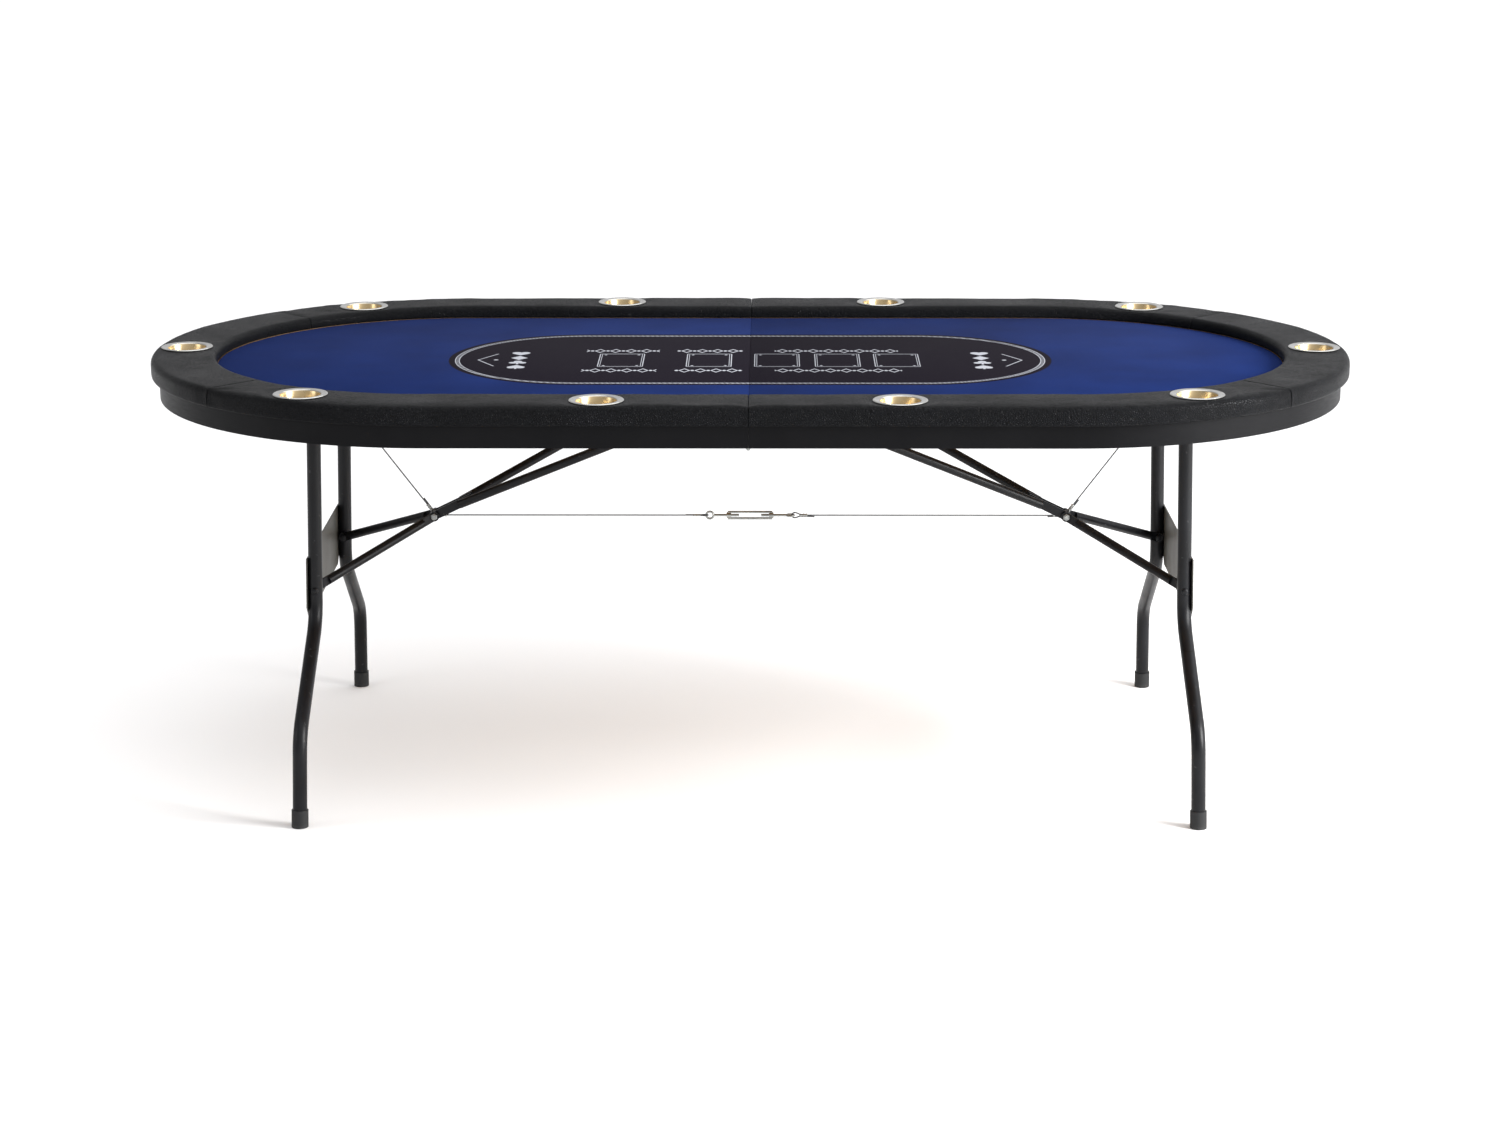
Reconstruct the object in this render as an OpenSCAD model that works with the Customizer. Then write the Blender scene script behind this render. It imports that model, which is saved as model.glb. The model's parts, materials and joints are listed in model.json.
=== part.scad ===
// Folding oval card table: two hinged half tops on two folding leg frames.
// Origin: floor, under the middle of the fold. +X right along the length, +Y to the back, +Z up.

/* [Table] */
// Overall length of the open table
table_len = 2134; // [1960:2:2300]
// Overall width of the table
table_wid = 1067; // [1040:1:1120]
// Height of the cup rims above the floor
table_ht = 762; // [740:1:790]

/* [Rail] */
// Width of the padded rail
rail_w = 115.5; // [108:0.5:125]
// Height of the padded rail above the deck board
rail_h = 25; // [22:0.5:32]
// Corner radius of the padding
rail_round = 11; // [6:0.5:12]
// How far the padding hangs down over the apron
rail_drop = 8; // [4:0.5:14]
// Angle of the rail joints from the long axis
seam_ang = 45; // [38:1:52]

/* [Deck] */
// Thickness of the deck board
board_t = 15; // [12:1:18]
// Thickness of the cloth-covered playing panel
felt_t = 4; // [3:0.5:6]
// Height of the apron
apron_h = 47; // [40:1:60]
// Thickness of the apron
apron_t = 6; // [4:0.5:6]
// How far the apron stands in from the rail
apron_inset = 14; // [12:0.5:18]

/* [Cup holders] */
// Outer diameter of the cup flange
cup_flange_d = 91.7; // [86:0.1:96]
// Inner diameter of the cup
cup_bore_d = 67.2; // [60:0.1:70]
// Depth of the cup
cup_depth = 59; // [50:1:62]
// Wall of the cup
cup_wall = 1; // [0.8:0.1:1.4]
// Distance of the two middle cups from the fold
cup_mid_x = 250.5; // [230:0.5:270]
// Angle of the corner cups from the long axis
cup_corner_ang = 63.6; // [60:0.1:68]

/* [Legs] */
// Distance of the leg axle from the fold
leg_x = 758; // [740:1:775]
// Half the spacing of the upright leg tubes
leg_y = 200; // [180:1:220]
// Half the spacing of the feet
foot_y = 424; // [400:1:440]
// Diameter of the leg tube
leg_d = 25; // [22:0.5:28]
// Outward lean of the legs
leg_lean = 1.3; // [0:0.1:3]
// Height at which the leg tube starts to bend
bend_z = 345; // [330:1:360]
// Angle of the sloping part of the leg tube
bend_ang = 55; // [45:1:60]

/* [Braces] */
// Distance of the brace knuckle from the fold
knuckle_x = 573; // [571:0.5:574]
// Height of the brace knuckle above the floor
knuckle_z = 451; // [450:0.5:452]
// Diameter of the brace tubes
brace_d = 16; // [12:0.5:18]
// Half the spacing of the upper braces at the deck
brace_y = 212; // [200:1:220]

/* [Hidden] */
$fn = 72;

black = "#1b1c1f";
steel = "#9aa0a6";

end_r = table_wid / 2;
end_x = table_len / 2 - end_r;
fold_gap = 0.5;
seam_gap = 0.6;
flange_t = 2;
pad_top = table_ht - flange_t;
core_z = pad_top - rail_h;
board_z = core_z - board_t;
apron_r = end_r - apron_inset;
apron_z = core_z - apron_h;
board_r = apron_r - apron_t - 0.1;
well_r = end_r - rail_w;
cup_line_r = end_r - 56.5;
cup_r = cup_bore_d / 2 + cup_wall;
lip_in = apron_r + 1.5;
slack = 0.05;
cup_places = [
    [cup_mid_x, -cup_line_r], [cup_mid_x, cup_line_r],
    [end_x + cup_line_r * cos(cup_corner_ang), -cup_line_r * sin(cup_corner_ang)],
    [end_x + cup_line_r * cos(cup_corner_ang), cup_line_r * sin(cup_corner_ang)],
    [end_x + cup_line_r, 0]
];

axle_z = board_z - 18;
axle_r = 11;
leg_r = leg_d / 2;
leg_wall = 1.3;
bend_r = 70;
foot_ang = 4;
bolt_drop = 338.7;
bolt_r = 4;
bolt_x = leg_x + bolt_drop * sin(leg_lean);
bolt_z = axle_z - bolt_drop * cos(leg_lean);
gusset_top = 281;
gusset_h = 112;
gusset_t = 2;

// The knuckle folds to the axle's height, which fixes where the upper brace is hung.
lower_len = norm([bolt_x - knuckle_x, bolt_z - knuckle_z]);
knuckle_fold_x = leg_x - bolt_drop + lower_len;
hang_x = (knuckle_fold_x ^ 2 - knuckle_x ^ 2 - (axle_z - knuckle_z) ^ 2)
    / (2 * (knuckle_fold_x - knuckle_x));
upper_ang = atan2(axle_z - knuckle_z, knuckle_x - hang_x);
brace_r = brace_d / 2;
brace_wall = 1.2;
eye_r = 9;
strap_t = 4;
strap_y = 8.2;
outer_eye_y = 13.4;
hang_pin_r = 3;

cable_r = 1.25;
stay_y = 3;
tie_y = -3;
loop_r = 6;
lug = [-8, -14];
lug_pin_r = 2;
lug_at = [leg_x + lug[0] * cos(leg_lean) - lug[1] * sin(leg_lean),
    axle_z + lug[0] * sin(leg_lean) + lug[1] * cos(leg_lean)];
ferrule_r = 2.8;
ferrule_l = 14;
tie_hinge_x = -knuckle_x + loop_r + ferrule_l + 3;
eye_x = 73;
eye_ring_r = 6.5;
eye_wire_r = 2;

hinge_z = apron_z - 4;
hinge_r = 3.8;
hinge_pin_r = 2;
hinge_y = 465;
hinge_l = 70;
batten_w = 30;

// ---- shapes shared by several parts ----

// Half oval of end radius r, cut off at the fold
module half_oval(r) {
    translate([fold_gap, -r])
        square([end_x - fold_gap, 2 * r]);
    intersection() {
        translate([end_x, 0])
            circle(r = r, $fn = 120);
        translate([end_x - 0.01, -r])
            square([r + 1, 2 * r]);
    }
}

// Band of the half oval between two radii
module half_band(r_in, r_out, z, h) {
    translate([0, 0, z])
        difference() {
            linear_extrude(h)
                half_oval(r_out);
            translate([0, 0, -1])
                linear_extrude(h + 2)
                    half_oval(r_in);
            translate([-1, -r_in, -1])
                cube([3, 2 * r_in, h + 2]);
        }
}

// One child at each cup place
module at_cups(places = cup_places) {
    for (p = places)
        translate([p[0], p[1], 0])
            children();
}

// Cup openings cut through a part
module cup_holes(r, places = cup_places) {
    at_cups(places)
        translate([0, 0, 600])
            cylinder(h = 200, r = r);
}

// Both sides of the long axis
module both_y() {
    children();
    mirror([0, 1, 0])
        children();
}

// Round bar from p to q
module bar(p, q, r) {
    v = q - p;
    translate(p)
        rotate([0, acos(v[2] / norm(v)), atan2(v[1], v[0])])
            cylinder(h = norm(v), r = r, $fn = 48);
}

// Tube from p to q
module tube(p, q, r, wall) {
    difference() {
        bar(p, q, r);
        bar(p, q, r - wall);
    }
}

// Pin along Y from y0 to y1
module y_pin(x, z, y0, y1, r) {
    translate([x, y0, z])
        rotate([-90, 0, 0])
            cylinder(h = y1 - y0, r = r);
}

// Flat strap along the line from p to q, starting and ending at distances a and b from p
module strap(p, q, a, b, t, w) {
    v = q - p;
    flat = norm([v[0], v[1]]);
    translate(p)
        rotate([0, -atan2(v[2], flat), atan2(v[1], v[0])])
            translate([a, -t / 2, -w / 2])
                cube([b - a, t, w]);
}

// Wire ring in the XZ plane
module ring_xz(c, r, wire) {
    translate(c)
        rotate([90, 0, 0])
            rotate_extrude()
                translate([r, 0])
                    circle(r = wire, $fn = 24);
}

// Wire ring in the XY plane
module ring_xy(c, r, wire) {
    translate(c)
        rotate_extrude()
            translate([r, 0])
                circle(r = wire, $fn = 24);
}

// The leg's own frame: origin on the axle, leg hanging down -Z
module on_leg() {
    translate([leg_x, 0, axle_z])
        rotate([0, -leg_lean, 0])
            children();
}

// Same part on the left half
module left() {
    mirror([1, 0, 0])
        children();
}

// ---- half top ----

module deck_board() {
    color("#8a6f4e")
        difference() {
            translate([0, 0, board_z])
                linear_extrude(board_t)
                    half_oval(board_r);
            cup_holes(cup_r + 3);
            screw_holes(board_z - 1, board_t + 2, rail_screw_places());
            screw_holes(board_z - 1, 12, bracket_screw_places());
        }
}

module felt() {
    color("#21356b")
        translate([0, 0, core_z])
            linear_extrude(felt_t)
                half_oval(well_r - 0.4);
}

module apron() {
    color(black)
        half_band(apron_r - apron_t, apron_r, apron_z, apron_h);
}

module fold_battens() {
    color("#8a6f4e")
        both_y()
            translate([fold_gap, 60, apron_z])
                cube([batten_w, board_r - 61, board_z - apron_z]);
}

// Corner arc of a profile: centre c, radius r, from angle a to angle b
function arc(c, r, a, b, n = 6) =
    [for (i = [0:n]) c + r * [cos(a + (b - a) * i / n), sin(a + (b - a) * i / n)]];

// Section of the padding, radius from the end centre against height, drawn in by e
function pad_profile(e = 0) = concat(
    [[lip_in + e, core_z - rail_drop + e]],
    arc([end_r - 3, core_z - rail_drop + 3], 3 - e, -90, 0, 3),
    arc([end_r - rail_round, pad_top - rail_round], rail_round - e, 0, 90),
    arc([well_r + rail_round, pad_top - rail_round], rail_round - e, 90, 180),
    [[well_r + e, core_z + felt_t + 0.5 + e], [well_r + 6 - e, core_z + felt_t + 0.5 + e],
        [well_r + 6 - e, core_z + 12.3 + e], [lip_in + e, core_z + 12.3 + e]]
);

module pad_arc(a, b) {
    g = seam_gap / end_r * 90 / PI;
    translate([end_x, 0, 0])
        rotate([0, 0, a + g])
            rotate_extrude(angle = b - a - 2 * g, $fn = 120)
                polygon(pad_profile());
}

module end_pad() {
    color(black)
        difference() {
            pad_arc(-seam_ang, seam_ang);
            cup_holes(cup_r + 4, [cup_places[4]]);
        }
}

module back_pad() {
    color(black)
        difference() {
            union() {
                translate([fold_gap, 0, 0])
                    rotate([90, 0, 90])
                        linear_extrude(end_x - fold_gap + 2)
                            polygon(pad_profile(slack));
                pad_arc(seam_ang, 90 + seam_gap / end_r * 90 / PI);
            }
            cup_holes(cup_r + 4, [cup_places[1], cup_places[3]]);
        }
}

module front_pad() {
    mirror([0, 1, 0])
        back_pad();
}

module rail_core() {
    color("#8a6f4e")
        difference() {
            half_band(well_r + 6.3, lip_in - 0.4, core_z + 0.1, 12);
            cup_holes(cup_r + 3.5);
            screw_holes(core_z - 1, 10, rail_screw_places());
        }
}

module cup_holders() {
    base = table_ht - cup_depth;
    color(steel)
        at_cups()
            translate([0, 0, base])
                rotate_extrude()
                    polygon([
                        [0, 0], [cup_r - 3, 0], [cup_r - 0.8, 0.8], [cup_r, 3],
                        [cup_r, cup_depth - flange_t], [cup_flange_d / 2 - 1, cup_depth - flange_t],
                        [cup_flange_d / 2, cup_depth - flange_t + 0.6],
                        [cup_flange_d / 2 - 0.8, cup_depth - 0.5],
                        [cup_flange_d / 2 - 3, cup_depth], [cup_bore_d / 2 + 1, cup_depth],
                        [cup_bore_d / 2, cup_depth - 1], [cup_bore_d / 2, cup_wall + 2],
                        [cup_bore_d / 2 - 2, cup_wall], [0, cup_wall]
                    ]);
}

// ---- screws ----

// Screws that hold the rail core down on the deck board
function rail_screw_places() = concat(
    [for (x = [90, 400]) for (s = [-1, 1]) [x, s * cup_line_r]],
    [for (a = [-82, -28, 28, 82]) [end_x + cup_line_r * cos(a), cup_line_r * sin(a)]]
);

// Screws of the leg brackets and the brace brackets
function bracket_screw_places() = concat(
    [for (dx = [-15, 15]) for (s = [-1, 1]) [leg_x + dx, s * 238]],
    [for (dx = [-12, 12]) for (s = [-1, 1]) [hang_x + dx, s * (brace_y + 14)]]
);

module screw_holes(z, h, places) {
    for (p = places)
        translate([p[0], p[1], z])
            cylinder(h = h, r = 2.3, $fn = 24);
}

module screws(head_z, h, places) {
    color(steel)
        for (p = places)
            translate([p[0], p[1], head_z]) {
                cylinder(h = 2.5, r = 4.5, $fn = 24);
                cylinder(h = h, r = 2.2, $fn = 24);
            }
}

module rail_screws() {
    screws(board_z - 2.5, board_t + 9, rail_screw_places());
}

module bracket_screws() {
    screws(board_z - 5.5, 15, bracket_screw_places());
}

// ---- brackets under the deck ----

module leg_brackets() {
    web_y = 218;
    color(black)
        difference() {
            both_y() {
                y_pin(leg_x, axle_z, web_y, web_y + 3, 15);
                translate([leg_x - 22, web_y, axle_z + 4])
                    cube([44, 3, board_z - axle_z - 4]);
                translate([leg_x - 22, web_y, board_z - 3])
                    cube([44, 30, 3]);
            }
            y_pin(leg_x, axle_z, -300, 300, axle_r + slack);
            screw_holes(board_z - 6, 8, bracket_screw_places());
        }
}

module brace_brackets() {
    color(black)
        difference() {
            both_y() {
                translate([hang_x - 19, brace_y - 8, board_z - 3])
                    cube([38, 28, 3]);
                for (y = [brace_y - 6.5, brace_y + 3.5]) {
                    y_pin(hang_x, axle_z, y, y + 3, 9);
                    translate([hang_x - 9, y, axle_z])
                        cube([18, 3, board_z - axle_z]);
                }
                y_pin(hang_x, axle_z, brace_y - 8.5, brace_y + 8.5, hang_pin_r);
            }
            screw_holes(board_z - 6, 8, bracket_screw_places());
        }
}

// ---- fold hinges ----

// Leaf screwed under the batten; side 0 carries the outer knuckles, side 1 the middle one
module hinge_leaves(side) {
    third = hinge_l / 3;
    spans = side == 0 ? [[0, third], [2 * third, hinge_l]] : [[third, 2 * third]];
    color(steel)
        both_y()
            difference() {
                union() {
                    translate([hinge_r + 0.7, hinge_y - hinge_l / 2, apron_z - 2])
                        cube([24, hinge_l, 2]);
                    for (s = spans)
                        translate([0, hinge_y - hinge_l / 2 + s[0] + 0.2, 0]) {
                            y_pin(0, hinge_z, 0, s[1] - s[0] - 0.4, hinge_r);
                            translate([0, 0, apron_z - 2])
                                cube([hinge_r + 1, s[1] - s[0] - 0.4, 1.7]);
                        }
                }
                y_pin(0, hinge_z, 0, 600, hinge_pin_r + slack);
            }
}

module hinge_pins() {
    color(steel)
        both_y()
            y_pin(0, hinge_z, hinge_y - hinge_l / 2 - 1, hinge_y + hinge_l / 2 + 1, hinge_pin_r);
}

// ---- leg frame ----

// Leg tube of radius r from the axle to the floor. The straight lengths are a hair thinner
// than the bends and run into them, so that every joint is a clean step.
module leg_sweep(r, top, bottom) {
    lap = 2;
    thin = r - 0.05;
    zb = bend_z - axle_z;
    zf = -axle_z / cos(leg_lean);
    y1 = leg_y + bend_r * (1 - cos(bend_ang));
    z1 = zb - bend_r * sin(bend_ang);
    dy = bend_r * (cos(foot_ang) - cos(bend_ang));
    dz = bend_r * (sin(bend_ang) - sin(foot_ang));
    m = (foot_y - y1 - dy - (z1 - dz - zf) * tan(foot_ang))
        / (sin(bend_ang) - cos(bend_ang) * tan(foot_ang));
    slope = [0, sin(bend_ang), -cos(bend_ang)];
    drop = [0, sin(foot_ang), -cos(foot_ang)];
    p1 = [0, y1, z1];
    p2 = p1 + m * slope;
    p3 = p2 + [0, dy, -dz];
    p4 = p3 + (p3[2] - zf - bottom) / cos(foot_ang) * drop;
    bar([0, leg_y, zb - lap], [0, leg_y, top], thin);
    leg_bend([0, leg_y + bend_r, zb], 180, bend_ang, r);
    bar(p1 - lap * slope, p2 + lap * slope, thin);
    leg_bend(p2 - bend_r * [0, cos(bend_ang), sin(bend_ang)], foot_ang, bend_ang - foot_ang, r);
    bar(p3 - lap * drop, p4, thin);
}

// Bend about centre c, from angle a over angle sweep, in the YZ plane
module leg_bend(c, a, sweep, r) {
    translate(c)
        rotate([90, 0, 90])
            rotate([0, 0, a])
                rotate_extrude(angle = sweep, $fn = 120)
                    translate([bend_r, 0])
                        circle(r = r, $fn = 48);
}

module back_leg() {
    color(black)
        on_leg()
            difference() {
                union() {
                    leg_sweep(leg_r, 0, 4.5);
                    y_pin(0, 0, leg_y - 14, leg_y + 14, 14.5);
                }
                leg_sweep(leg_r - leg_wall, -20, 3);
                y_pin(0, 0, 0, 300, axle_r + slack);
                y_pin(0, -bolt_drop, 0, 300, bolt_r + slack);
            }
}

module front_leg() {
    mirror([0, 1, 0])
        back_leg();
}

module foot_caps() {
    zf = -axle_z / cos(leg_lean);
    color("#101113")
        both_y()
            difference() {
                on_leg()
                    translate([0, foot_y, zf])
                        rotate([foot_ang, 0, 0])
                            difference() {
                                translate([0, 0, -3])
                                    cylinder(h = 33, r = leg_r + 2);
                                translate([0, 0, 4.2])
                                    cylinder(h = 40, r = leg_r + slack);
                            }
                translate([leg_x - 100, foot_y - 100, -50])
                    cube([200, 200, 50]);
            }
}

module leg_axle() {
    color(black)
        on_leg()
            difference() {
                union() {
                    y_pin(0, 0, -225, 225, axle_r);
                    for (y = [stay_y - 6, stay_y + 3])
                        translate([0, y, 0]) {
                            rotate([0, atan2(-lug[1], lug[0]), 0])
                                translate([0, 0, -5])
                                    cube([norm(lug), 3, 10]);
                            y_pin(lug[0], lug[1], 0, 3, 6);
                        }
                    y_pin(lug[0], lug[1], stay_y - 7.5, stay_y + 7.5, lug_pin_r);
                }
                y_pin(0, 0, -300, 300, axle_r - 1.5);
            }
}

module leg_gusset() {
    half = leg_y + leg_r + 1.5;
    cut = 24;
    color("#4b4a47")
        on_leg()
            translate([leg_r, 0, -gusset_top])
                rotate([90, 0, 90])
                    linear_extrude(gusset_t)
                        polygon([
                            [-half, 0], [-half, cut - gusset_h], [cut - half, -gusset_h],
                            [half - cut, -gusset_h], [half, cut - gusset_h], [half, 0]
                        ]);
}

module leg_bolts() {
    color(black)
        on_leg()
            both_y() {
                y_pin(0, -bolt_drop, leg_y - leg_r - 9.5, leg_y + leg_r, bolt_r);
                y_pin(0, -bolt_drop, leg_y + leg_r, leg_y + leg_r + 4, 6.5);
                y_pin(0, -bolt_drop, leg_y - leg_r - 11.5, leg_y - leg_r - 8.5, 6.5);
            }
}

// ---- braces ----

module upper_braces() {
    k = [knuckle_x, strap_y, knuckle_z];
    h = [hang_x, brace_y, axle_z];
    u = [-cos(upper_ang), 0, sin(upper_ang)];
    near = k + 52 * u + [0, 7, 0];
    far = h - 22 * u;
    color(black)
        difference() {
            both_y() {
                tube(near, far, brace_r, brace_wall);
                strap(k, k + u, 0, 78, strap_t, brace_d);
                y_pin(knuckle_x, knuckle_z, strap_y - 2, strap_y + 2, eye_r);
                strap(h, h - u, 0, 40, strap_t, brace_d);
                y_pin(hang_x, axle_z, brace_y - 2, brace_y + 2, brace_r);
            }
            y_pin(knuckle_x, knuckle_z, -20, 20, bolt_r + slack);
            y_pin(hang_x, axle_z, -300, 300, hang_pin_r + slack);
        }
}

module knuckle_bolt() {
    color(steel)
        y_pin(knuckle_x, knuckle_z, -strap_y - 2.5, strap_y + 2.5, bolt_r);
}

module lower_braces() {
    inner_y = leg_y - leg_r - 5;
    k = [knuckle_x, outer_eye_y, knuckle_z];
    b = [bolt_x, inner_y, bolt_z];
    l = norm(b - k);
    u = (b - k) / l;
    color(black)
        difference() {
            both_y() {
                tube(k + 26 * u, b - 26 * u, brace_r, brace_wall);
                strap(k, b, 4, 44, strap_t, brace_d);
                strap(k, b, l - 44, l - 4, strap_t, brace_d);
                y_pin(knuckle_x, knuckle_z, outer_eye_y - 2, outer_eye_y + 4, eye_r);
                y_pin(bolt_x, bolt_z, inner_y - 3, inner_y + 3, eye_r);
            }
            y_pin(bolt_x, bolt_z, -300, 300, bolt_r + slack);
            y_pin(knuckle_x, knuckle_z, -30, 30, bolt_r + slack);
            both_y() {
                y_pin(knuckle_x, knuckle_z, outer_eye_y + 4, outer_eye_y + 9, 6.7);
                y_pin(bolt_x, bolt_z, inner_y - 7, inner_y - 3, 6.7);
            }
        }
}

// Nut on the outer face of each lower brace, with the stub of its bolt
module knuckle_nuts() {
    color(black)
        both_y() {
            y_pin(knuckle_x, knuckle_z, outer_eye_y - 1.5, outer_eye_y + 4, bolt_r);
            y_pin(knuckle_x, knuckle_z, outer_eye_y + 4, outer_eye_y + 8.5, 6.5);
        }
}

// ---- cables ----

// Wire rope along Y = y from p to q in XZ, with a loop at p, a loop at q and two ferrules
module looped_cable(p, q, y, loop_p, loop_q) {
    a = [p[0], y, p[1]];
    b = [q[0], y, q[1]];
    u = (b - a) / norm(b - a);
    ring_xz(a, loop_p, cable_r);
    ring_xz(b, loop_q, cable_r);
    bar(a + loop_p * u, b - loop_q * u, cable_r);
    bar(a + (loop_p + 2) * u, a + (loop_p + 2 + ferrule_l) * u, ferrule_r);
    bar(b - (loop_q + 2 + ferrule_l) * u, b - (loop_q + 2) * u, ferrule_r);
}

module stay_cable() {
    color(steel)
        looped_cable(lug_at, [knuckle_x, knuckle_z], stay_y, 3.6, loop_r);
}

module tie_loop() {
    c = [-knuckle_x, tie_y, knuckle_z];
    color(steel) {
        ring_xz(c, loop_r, cable_r);
        bar(c + [loop_r, 0, 0], c + [loop_r + ferrule_l, 0, 0], cable_r);
        bar(c + [loop_r + 1, 0, 0], c + [loop_r + 1 + ferrule_l, 0, 0], ferrule_r);
    }
}

// Loop through a turnbuckle eye, its ferrule, and the rope that goes on to x_end
module tie_rope(x_loop, x_end, flat) {
    r = 5;
    s = sign(x_end - x_loop);
    c = [x_loop, tie_y, knuckle_z];
    if (flat)
        ring_xy(c, r, cable_r);
    else
        ring_xz(c, r, cable_r);
    bar(c + [s * r, 0, 0], [x_end, tie_y, knuckle_z], cable_r);
    bar(c + [s * (r + 1), 0, 0], c + [s * (r + 1 + ferrule_l), 0, 0], ferrule_r);
}

module tie_cable_left() {
    color(steel) {
        tie_rope(-eye_x - eye_ring_r - 1.5, tie_hinge_x, true);
        y_pin(tie_hinge_x, knuckle_z, tie_y - 1.8, tie_y + 1.8, 1.8);
    }
}

module tie_cable_right() {
    end = [knuckle_x, tie_y, knuckle_z];
    color(steel) {
        tie_rope(eye_x + eye_ring_r + 1.5, knuckle_x - loop_r, false);
        ring_xz(end, loop_r, cable_r);
        bar(end - [loop_r + 1 + ferrule_l, 0, 0], end - [loop_r + 1, 0, 0], ferrule_r);
    }
}

module eye_shank(s) {
    bar([s * (eye_x - eye_ring_r), tie_y, knuckle_z], [s * 20, tie_y, knuckle_z], 2.4);
}

module tie_eye_left() {
    color(steel) {
        ring_xz([-eye_x, tie_y, knuckle_z], eye_ring_r, eye_wire_r);
        eye_shank(-1);
    }
}

module tie_eye_right() {
    color(steel) {
        ring_xy([eye_x, tie_y, knuckle_z], eye_ring_r, eye_wire_r);
        eye_shank(1);
    }
}

module turnbuckle_body() {
    half = 42.5;
    boss = 8;
    side = 6;
    color(steel)
        translate([0, tie_y, knuckle_z])
            difference() {
                union() {
                    for (s = [-1, 1])
                        bar([s * (half - boss), 0, 0], [s * half, 0, 0], 5.5);
                    for (s = [-1, 1])
                        bar([-half + 2, 0, s * side], [half - 2, 0, s * side], 2.2);
                }
                bar([-half - 1, 0, 0], [half + 1, 0, 0], 2.4 + slack);
            }
}

// ---- nodes ----

left() deck_board();  // left_deck_board
left() felt();  // left_felt
left() apron();  // left_apron
left() fold_battens();  // left_fold_battens
left() end_pad();  // left_end_pad
left() front_pad();  // left_front_pad
left() back_pad();  // left_back_pad
left() rail_core();  // left_rail_core
left() cup_holders();  // left_cup_holders
left() rail_screws();  // left_rail_screws
left() leg_brackets();  // left_leg_brackets
left() brace_brackets();  // left_brace_brackets
left() bracket_screws();  // left_bracket_screws
left() hinge_leaves(0);  // left_hinge_leaves
left() leg_axle();  // left_leg_axle
left() front_leg();  // left_front_leg
left() back_leg();  // left_back_leg
left() leg_gusset();  // left_leg_gusset
left() leg_bolts();  // left_leg_bolts
left() foot_caps();  // left_foot_caps
left() upper_braces();  // left_upper_braces
left() knuckle_bolt();  // left_knuckle_bolt
left() lower_braces();  // left_lower_braces
left() knuckle_nuts();  // left_knuckle_nuts
left() stay_cable();  // left_stay_cable
deck_board();  // right_deck_board
felt();  // right_felt
apron();  // right_apron
fold_battens();  // right_fold_battens
end_pad();  // right_end_pad
front_pad();  // right_front_pad
back_pad();  // right_back_pad
rail_core();  // right_rail_core
cup_holders();  // right_cup_holders
rail_screws();  // right_rail_screws
leg_brackets();  // right_leg_brackets
brace_brackets();  // right_brace_brackets
bracket_screws();  // right_bracket_screws
hinge_leaves(1);  // right_hinge_leaves
leg_axle();  // right_leg_axle
front_leg();  // right_front_leg
back_leg();  // right_back_leg
leg_gusset();  // right_leg_gusset
leg_bolts();  // right_leg_bolts
foot_caps();  // right_foot_caps
upper_braces();  // right_upper_braces
knuckle_bolt();  // right_knuckle_bolt
lower_braces();  // right_lower_braces
knuckle_nuts();  // right_knuckle_nuts
stay_cable();  // right_stay_cable
hinge_pins();
tie_loop();
tie_cable_left();
tie_eye_left();
turnbuckle_body();
tie_eye_right();
tie_cable_right();
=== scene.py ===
"""Looks of the folding oval card table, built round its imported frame."""

import json
import logging
import math
from dataclasses import dataclass, field
from enum import Enum
from typing import Iterable, Sequence

import bmesh
import bpy
from mathutils import Matrix, Vector, noise


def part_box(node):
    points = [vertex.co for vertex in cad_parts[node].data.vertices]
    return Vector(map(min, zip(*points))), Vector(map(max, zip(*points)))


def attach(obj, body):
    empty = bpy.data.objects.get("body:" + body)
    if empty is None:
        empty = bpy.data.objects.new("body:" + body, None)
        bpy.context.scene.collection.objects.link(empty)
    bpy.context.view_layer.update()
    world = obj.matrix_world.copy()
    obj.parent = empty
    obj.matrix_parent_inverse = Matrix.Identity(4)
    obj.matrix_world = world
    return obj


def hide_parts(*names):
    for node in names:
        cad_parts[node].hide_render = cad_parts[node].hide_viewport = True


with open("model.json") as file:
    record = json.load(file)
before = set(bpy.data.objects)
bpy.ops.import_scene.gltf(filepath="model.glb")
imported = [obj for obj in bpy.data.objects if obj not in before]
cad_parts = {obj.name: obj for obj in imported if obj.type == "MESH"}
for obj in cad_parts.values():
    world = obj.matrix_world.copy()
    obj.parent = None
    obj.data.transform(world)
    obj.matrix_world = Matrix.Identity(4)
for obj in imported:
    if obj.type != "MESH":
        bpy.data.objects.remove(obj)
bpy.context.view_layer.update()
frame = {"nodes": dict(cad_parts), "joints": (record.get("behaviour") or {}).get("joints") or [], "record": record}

MM = 0.001
log = logging.getLogger("card_table")


# ---------------------------------------------------------------- nodes and colours


def linear(hex_colour: str) -> tuple[float, float, float, float]:
    """Turn an sRGB hex colour into the linear numbers a shader takes.

    Args:
        hex_colour: Colour such as "#1b1c1f".

    Returns:
        Linear red, green, blue and an alpha of one.
    """
    raw = hex_colour.lstrip("#")
    parts = [int(raw[i : i + 2], 16) / 255 for i in (0, 2, 4)]
    lit = [c / 12.92 if c <= 0.04045 else ((c + 0.055) / 1.055) ** 2.4 for c in parts]
    return (lit[0], lit[1], lit[2], 1.0)


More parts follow.
